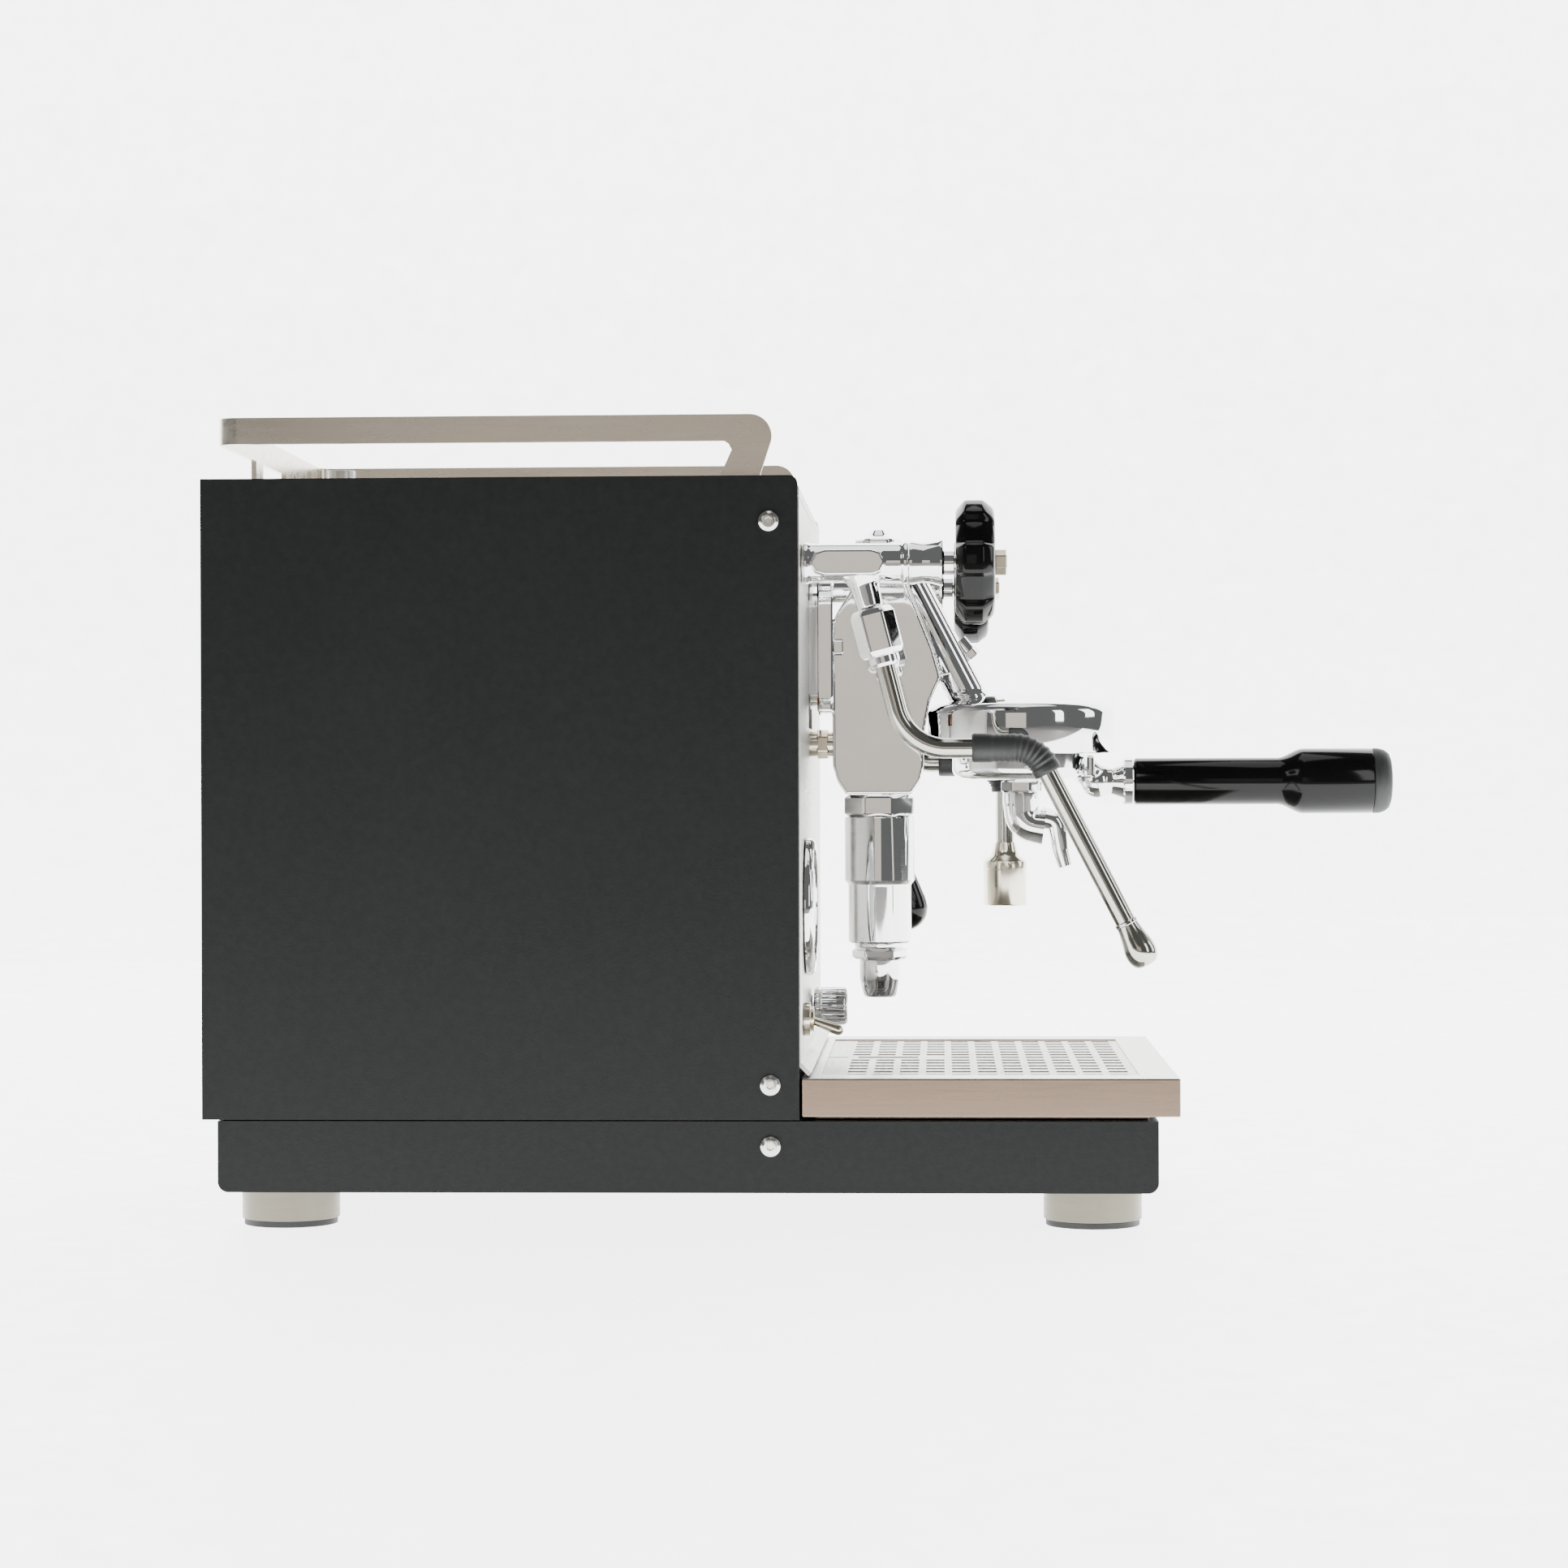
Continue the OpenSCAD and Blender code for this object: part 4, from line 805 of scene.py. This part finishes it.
def make_bell():
    """The bell with its domed top, rolled lip and open mouth."""
    r = (GROUP_LOW.x * -1)
    z = BELL_LOW
    top = 25.4
    outline = [(36.4, 0.4), (37.2, 0)] + [(r - 1.4, 0), (r - 0.4, 0.4), (r, 1.6), (r, top - 6.0)]
    outline += arc(r - 5.5, top - 6.0, 5.5, 0, 78, 8)[1:]
    outline += [
        (r - 12, top + 0.9), (r - 20, top + 2.9), (r - 30, top + 4.2), (0, top + 4.8), (0, 14),
        (39.5, 13.4), (41.0, 12.8), (41.0, 4.2), (36.4, 3.6), (36.4, 0.4),
    ]
    lathe("group_bell", outline, at(0, BELL_Y, z), BODY_OF["group_body"], "chrome", (), 160, 38.0)
    direction = Vector((0, -0.64, -0.77))
    start = Vector((0, BELL_Y + 30.5, BELL_LOW + 57.0))
    lathe("neck_plug", [(0, 0), (3.4, 0), (3.4, 7.0), (0, 7)], at(*start, axis=direction),
          BODY_OF["group_body"], "chrome")
    nut("neck_plug_nut", at(*(start + direction * 6.8), axis=direction), 4.3, 4.2, BODY_OF["group_body"],
        "chrome")


def make_cap():
    low, high = mm_box("group_cap")
    y = (low.y + high.y) / 2
    lathe("mushroom_cap", [
        (0, 0), (12.2, 0), (12.5, 0.6), (12.5, 2.8), (12.0, 3.4), (8.4, 4.6), (5.0, 6.6), (4.2, 7.6),
        (3.6, 8.2), (0, 8.4),
    ], at(0, y, low.z), BODY_OF["group_cap"], "chrome", ["group_cap"], 96, 30.0, polygon_shape(6, 0.5))


def make_chamber():
    low, high = mm_box("group_chamber")
    y = UPRIGHT_Y
    z = low.z
    body = BODY_OF["group_chamber"]
    lower = [
        (4.8, 0.4), (5.2, 0), (7.3, 0), (7.75, 0.4), (8.3, 1.2), (9.2, 4.8), (9.9, 8.2), (10.2, 9.2),
        (10.2, 18.4), (9.8, 18.9), (9.4, 19.0), (9.4, 24.4), (12.4, 24.6), (12.6, 25.2), (12.6, 26.6),
        (15.0, 27.1), (15.7, 27.9), (15.75, 28.4), (15.75, 55.2), (15.9, 56.4), (17.1, 57.8),
        (17.5, 58.4), (17.5, 89.6), (17.0, 90.2), (4.8, 90.2), (4.8, 0.4),
    ]
    lathe("exhaust_chamber", lower, at(0, y, z), body, "chrome", ["group_chamber"], 128, 28.0)
    nut("exhaust_nut", at(0, y, z + 18.9), 14.2, 5.4, body, "chrome", 6)
    nut("chamber_collar", at(0, y, z + 90.2), 18.9, high.z - z - 90.2, body, "chrome", 8)


def make_lever():
    """Cam shaft, the bent arm and the teardrop knob."""
    knob_low, knob_high = mm_box("lever_knob")
    pivot = Vector((0, CAM[1] / MM, CAM_Z))
    x = (knob_low.x + knob_high.x) / 2
    lean = math.radians(8.5)
    down = Vector((0, -math.sin(lean), -math.cos(lean)))
    bm = bmesh.new()
    rod_part((20.5, pivot.y, pivot.z), (24, pivot.y, pivot.z), 9.8, 9.8)(bm)
    rod_part((24, pivot.y, pivot.z), (30, pivot.y, pivot.z), 9.8, 6.6)(bm)
    rod_part((30, pivot.y, pivot.z), (x + 5.4, pivot.y, pivot.z), 6.4, 6.0)(bm)
    link_piece("cam_shaft", to_mesh("cam_shaft", bm), BODY_OF["brew_lever"], "chrome", ["brew_lever"], 40.0)
    hub = Vector((x, pivot.y, pivot.z))
    arm = [(0, -1), (5.6, -1), (4.6, 7), (3.6, 14), (3.4, 30), (3.5, 57), (0, 57)]
    lathe("lever_arm", arm, at(*hub, axis=down), BODY_OF["brew_lever"], "chrome")
    drop = 82
    knob = [(0, -33), (5.0, -33), (5.6, -32.2), (5.7, -28), (7.0, -20), (9.4, -11), (11.1, -4.4)]
    knob += [(11.6 * math.cos(math.radians(t)), 11.6 * math.sin(math.radians(t))) for t in range(-8, 90, 8)]
    knob += [(0, 11.6)]
    lathe("lever_ball", knob, at(*(hub + down * drop), axis=down), BODY_OF["lever_knob"], "gloss_black",
          ["lever_knob"],
          96, 60.0)


# ---------------------------------------------------------------- portafilter

def make_portafilter():
    r = 34.5
    z = BOWL_LOW
    top = mm_box("portafilter")[1].z - z
    body = BODY_OF["portafilter"]
    bowl = [(5, 2.5), (5, 0), (r - 7, 0)] + arc(r - 6, 6, 6, -80, 0, 8)
    bowl += [(r, top), (31.2, top), (31.2, 3), (5, 2.5)]
    lathe("filter_bowl", bowl, at(0, BELL_Y, z), body, "chrome", ["portafilter"], 160, 35.0)
    neck_end = mm_box("portafilter_handle")[1].y + 5.7
    first = (0, BELL_Y - r + 5, z + 7.5)
    knee = (0, neck_end + 12.6, HANDLE_Z)
    fused("filter_neck", [
        rod_part(first, knee, 6.6, 7.6), ball_part(knee, 8.5),
        rod_part((0, neck_end + 10.5, HANDLE_Z), (0, neck_end + 5, HANDLE_Z), 7.6, 6.7),
        rod_part((0, neck_end + 5, HANDLE_Z), (0, neck_end - 1, HANDLE_Z), 6.8, 9.2),
        block_part((-8, BELL_Y - r - 1.5, z + 1.4), (8, BELL_Y - r + 4, z + 12)),
    ], 0.00035, 10, body, "chrome")
    collar = [(0, 0), (11.0, 0), (11.9, 0.8), (11.9, 4.6), (11.2, 5.4), (0, 5.4)]
    lathe("handle_collar", collar, at(0, neck_end, HANDLE_Z, AHEAD), body, "chrome", (), 96, 30.0)
    for side in (-1, 1):
        bm = bmesh.new()
        near, far = sorted((side * 33, side * 40.3))
        box_into(bm, (near, BELL_Y - 9, z + top - 7), (far, BELL_Y + 9, z + top - 0.6))
        ear = link_piece(f"filter_ear_{'left' if side < 0 else 'right'}", to_mesh("ear", bm), body, "chrome")
        bevel(ear, 0.0008)


def make_handle():
    start, end = HANDLE_HIGH.y, HANDLE_LOW.y
    length = start - end
    r1 = (HANDLE_HIGH.z - HANDLE_LOW.z) / 2
    r0 = 11.65
    body = BODY_OF["portafilter_handle"]
    cap = length - 9.4
    grip = [(0, 0), (r0 - 0.7, 0), (r0, 0.7), (r0, 71)]
    for i in range(1, 13):
        t = i / 12
        grip.append((r0 + (r1 - r0) * (t * t * (3 - 2 * t)), 71 + 13 * t))
    grip += [(r1, cap - 0.6), (r1 - 0.5, cap), (0, cap)]
    lathe("handle_grip", grip, at(0, start, HANDLE_Z, AHEAD), body, "gloss_black", ["portafilter_handle"],
          128, 50.0)
    crown = [
        (0, cap + 0.1), (r1 - 0.5, cap + 0.1), (r1, cap + 0.7), (r1 - 0.1, cap + 3.2),
        (r1 - 0.9, cap + 6.0), (r1 - 2.6, cap + 8.2), (r1 - 5.2, cap + 9.2), (0, length),
    ]
    lathe("handle_cap", crown, at(0, start, HANDLE_Z, AHEAD), body, "rubber", (), 128, 50.0)


def make_spout():
    low, high = SPOUT_LOW, SPOUT_HIGH
    body = BODY_OF["spout"]
    y = BELL_Y
    nut("spout_nut", at(0, y, high.z - 6.2), 11.0, 6.1, body, "chrome", 8)
    knee = high.z - 22
    path = smooth_path([(0, y * MM, (high.z - 5) * MM), (0, y * MM, knee * MM),
                        (0, (y - 11.2) * MM, (knee - 1.5) * MM)],
                       [0, 0.0075, 0])
    bm = bmesh.new()
    sweep_into(bm, path, lambda t: (9.3 if t < 0.3 else 8.6 if t < 0.85 else 9.2) * MM)
    link_piece("spout_elbow", to_mesh("elbow", bm), body, "chrome", ["spout"], 30.0)
    run = smooth_path([(0, (y - 9.5) * MM, (knee + 3.5) * MM), (0, (y - 17.5) * MM, (knee + 1.5) * MM),
                       (0, (y - 19.5) * MM, (low.z + 9) * MM), (0, (y - 21.8) * MM, (low.z + 0.6) * MM)],
                      [0, 0.0055, 0.01, 0])
    bm = bmesh.new()
    sweep_into(bm, run, lambda t: (5.6 - 2.2 * t) * MM)
    chute = link_piece("spout_chute", to_mesh("chute", bm), body, "chrome", (), 50.0)
    bevel(chute, 0.0005)


# ---------------------------------------------------------------- controls

def make_gauge():
    low, high = mm_box("gauge_case")
    x, z = (low.x + high.x) / 2, (low.z + high.z) / 2
    r = (high.z - low.z) / 2
    front = low.y
    outline = [
        (r - 7, 0), (r - 1.2, 0), (r, 0.8), (r, 2.6), (r - 0.4, 3.4), (r - 1.6, 4.6), (r - 3.2, 5.15),
        (r - 4.6, 4.7), (r - 5.2, 3.6), (r - 5.2, 0.6), (r - 7, 0),
    ]
    lathe("gauge_bezel", outline, at(x, front + 5.2, z, AHEAD), BODY_OF["gauge_case"], "chrome",
          ["gauge_case"], 128, 40.0)
    glass = [(0, 2.2), (r - 5.3, 2.2), (r - 5.3, 3.2), (r - 9, 3.9), (r - 18, 4.6), (0, 4.9)]
    lathe("gauge_lens", glass, at(x, front + 5.2, z, AHEAD), BODY_OF["gauge_glass"], "clear_glass",
          ["gauge_glass"], 96, 60.0)
    dial_low = mm_box("gauge_dial")[0]
    refined("gauge_dial", 0.0)
    ticks = bmesh.new()
    for i in range(31):
        a = math.radians(-135 + 270 * i / 30)
        long_tick = i % 5 == 0
        inner = r - (14 if long_tick else 11.5)
        turn = Matrix.Translation(Vector((x, dial_low.y, z)) * MM) @ Matrix.Rotation(a, 4, "Y")
        half = 0.5 if long_tick else 0.25
        corners = [(-half, inner), (half, inner), (half, r - 9), (-half, r - 9)]
        base = [ticks.verts.new(turn @ Vector((u * MM, 0, v * MM))) for u, v in corners]
        top = [ticks.verts.new(turn @ Vector((u * MM, -0.15 * MM, v * MM))) for u, v in corners]
        ticks.faces.new(base)
        ticks.faces.new(list(reversed(top)))
        for k in range(4):
            ticks.faces.new((base[k], top[k], top[(k + 1) % 4], base[(k + 1) % 4]))
    link_piece("gauge_ticks", to_mesh("ticks", ticks), BODY_OF["gauge_dial"], "black_plastic")
    refined("gauge_needle", 0.0)


def make_switch():
    pivot = Vector(joint("switch_throw")["pos_m"]) / MM
    refined("switch_base", 0.0003)
    down = Vector((0, -math.cos(math.radians(20)), -math.sin(math.radians(20))))
    outline = [(0, -1), (1.5, -1), (1.6, 1), (1.9, 4), (2.4, 10), (2.6, 13)]
    outline += [
        (2.65 * math.cos(math.radians(t)), 15 + 2.65 * math.sin(math.radians(t)))
        for t in range(0, 90, 15)
    ]
    outline += [(0, 17.65)]
    lathe("switch_bat", outline, at(*pivot, axis=down), BODY_OF["switch_lever"], "nickel", ["switch_lever"],
          48, 60.0)


def make_selector():
    low, high = mm_box("selector_knob")
    x, z = (low.x + high.x) / 2, (low.z + high.z) / 2
    r = (high.z - low.z) / 2
    depth = high.y - low.y

    def flutes(angle, radius):
        return 1 - 0.035 * max(0.0, math.cos(18 * angle)) if radius > r - 1.5 else 1

    outline = [
        (2.6, 0), (r - 1, 0), (r - 0.2, 0.6), (r - 0.2, 2.4), (r - 1.0, 2.8), (r - 1.0, 3.2), (r, 3.6),
        (r, depth - 2), (r - 0.6, depth - 0.8), (r - 1.6, depth), (0, depth), (0, depth - 6),
        (2.6, depth - 6), (2.6, 0),
    ]
    lathe("selector_cap", outline, at(x, high.y, z, AHEAD), BODY_OF["selector_knob"], "chrome",
          ["selector_knob"], 144, 30.0,
          flutes)
    bm = bmesh.new()
    box_into(bm, (x - 0.45, low.y - 0.02, z + 2.5), (x + 0.45, low.y + 0.4, z + r - 1.8))
    link_piece("selector_mark", to_mesh("mark", bm), BODY_OF["selector_knob"], "black_plastic")


make_cabinet()
for kind, side in SIDES:
    make_star_knob(kind)
    make_valve(kind, side)
    make_wand_nut(kind)
    make_wand(kind)
make_wand_tips()
make_group()
make_bell()
make_cap()
make_chamber()
make_lever()
make_portafilter()
make_handle()
make_spout()
make_gauge()
make_switch()
make_selector()
for node, part in frame["nodes"].items():
    if not part.hide_render:
        part.data.materials.clear()
        part.data.materials.append(MATERIALS[SLOT_OF[node]])
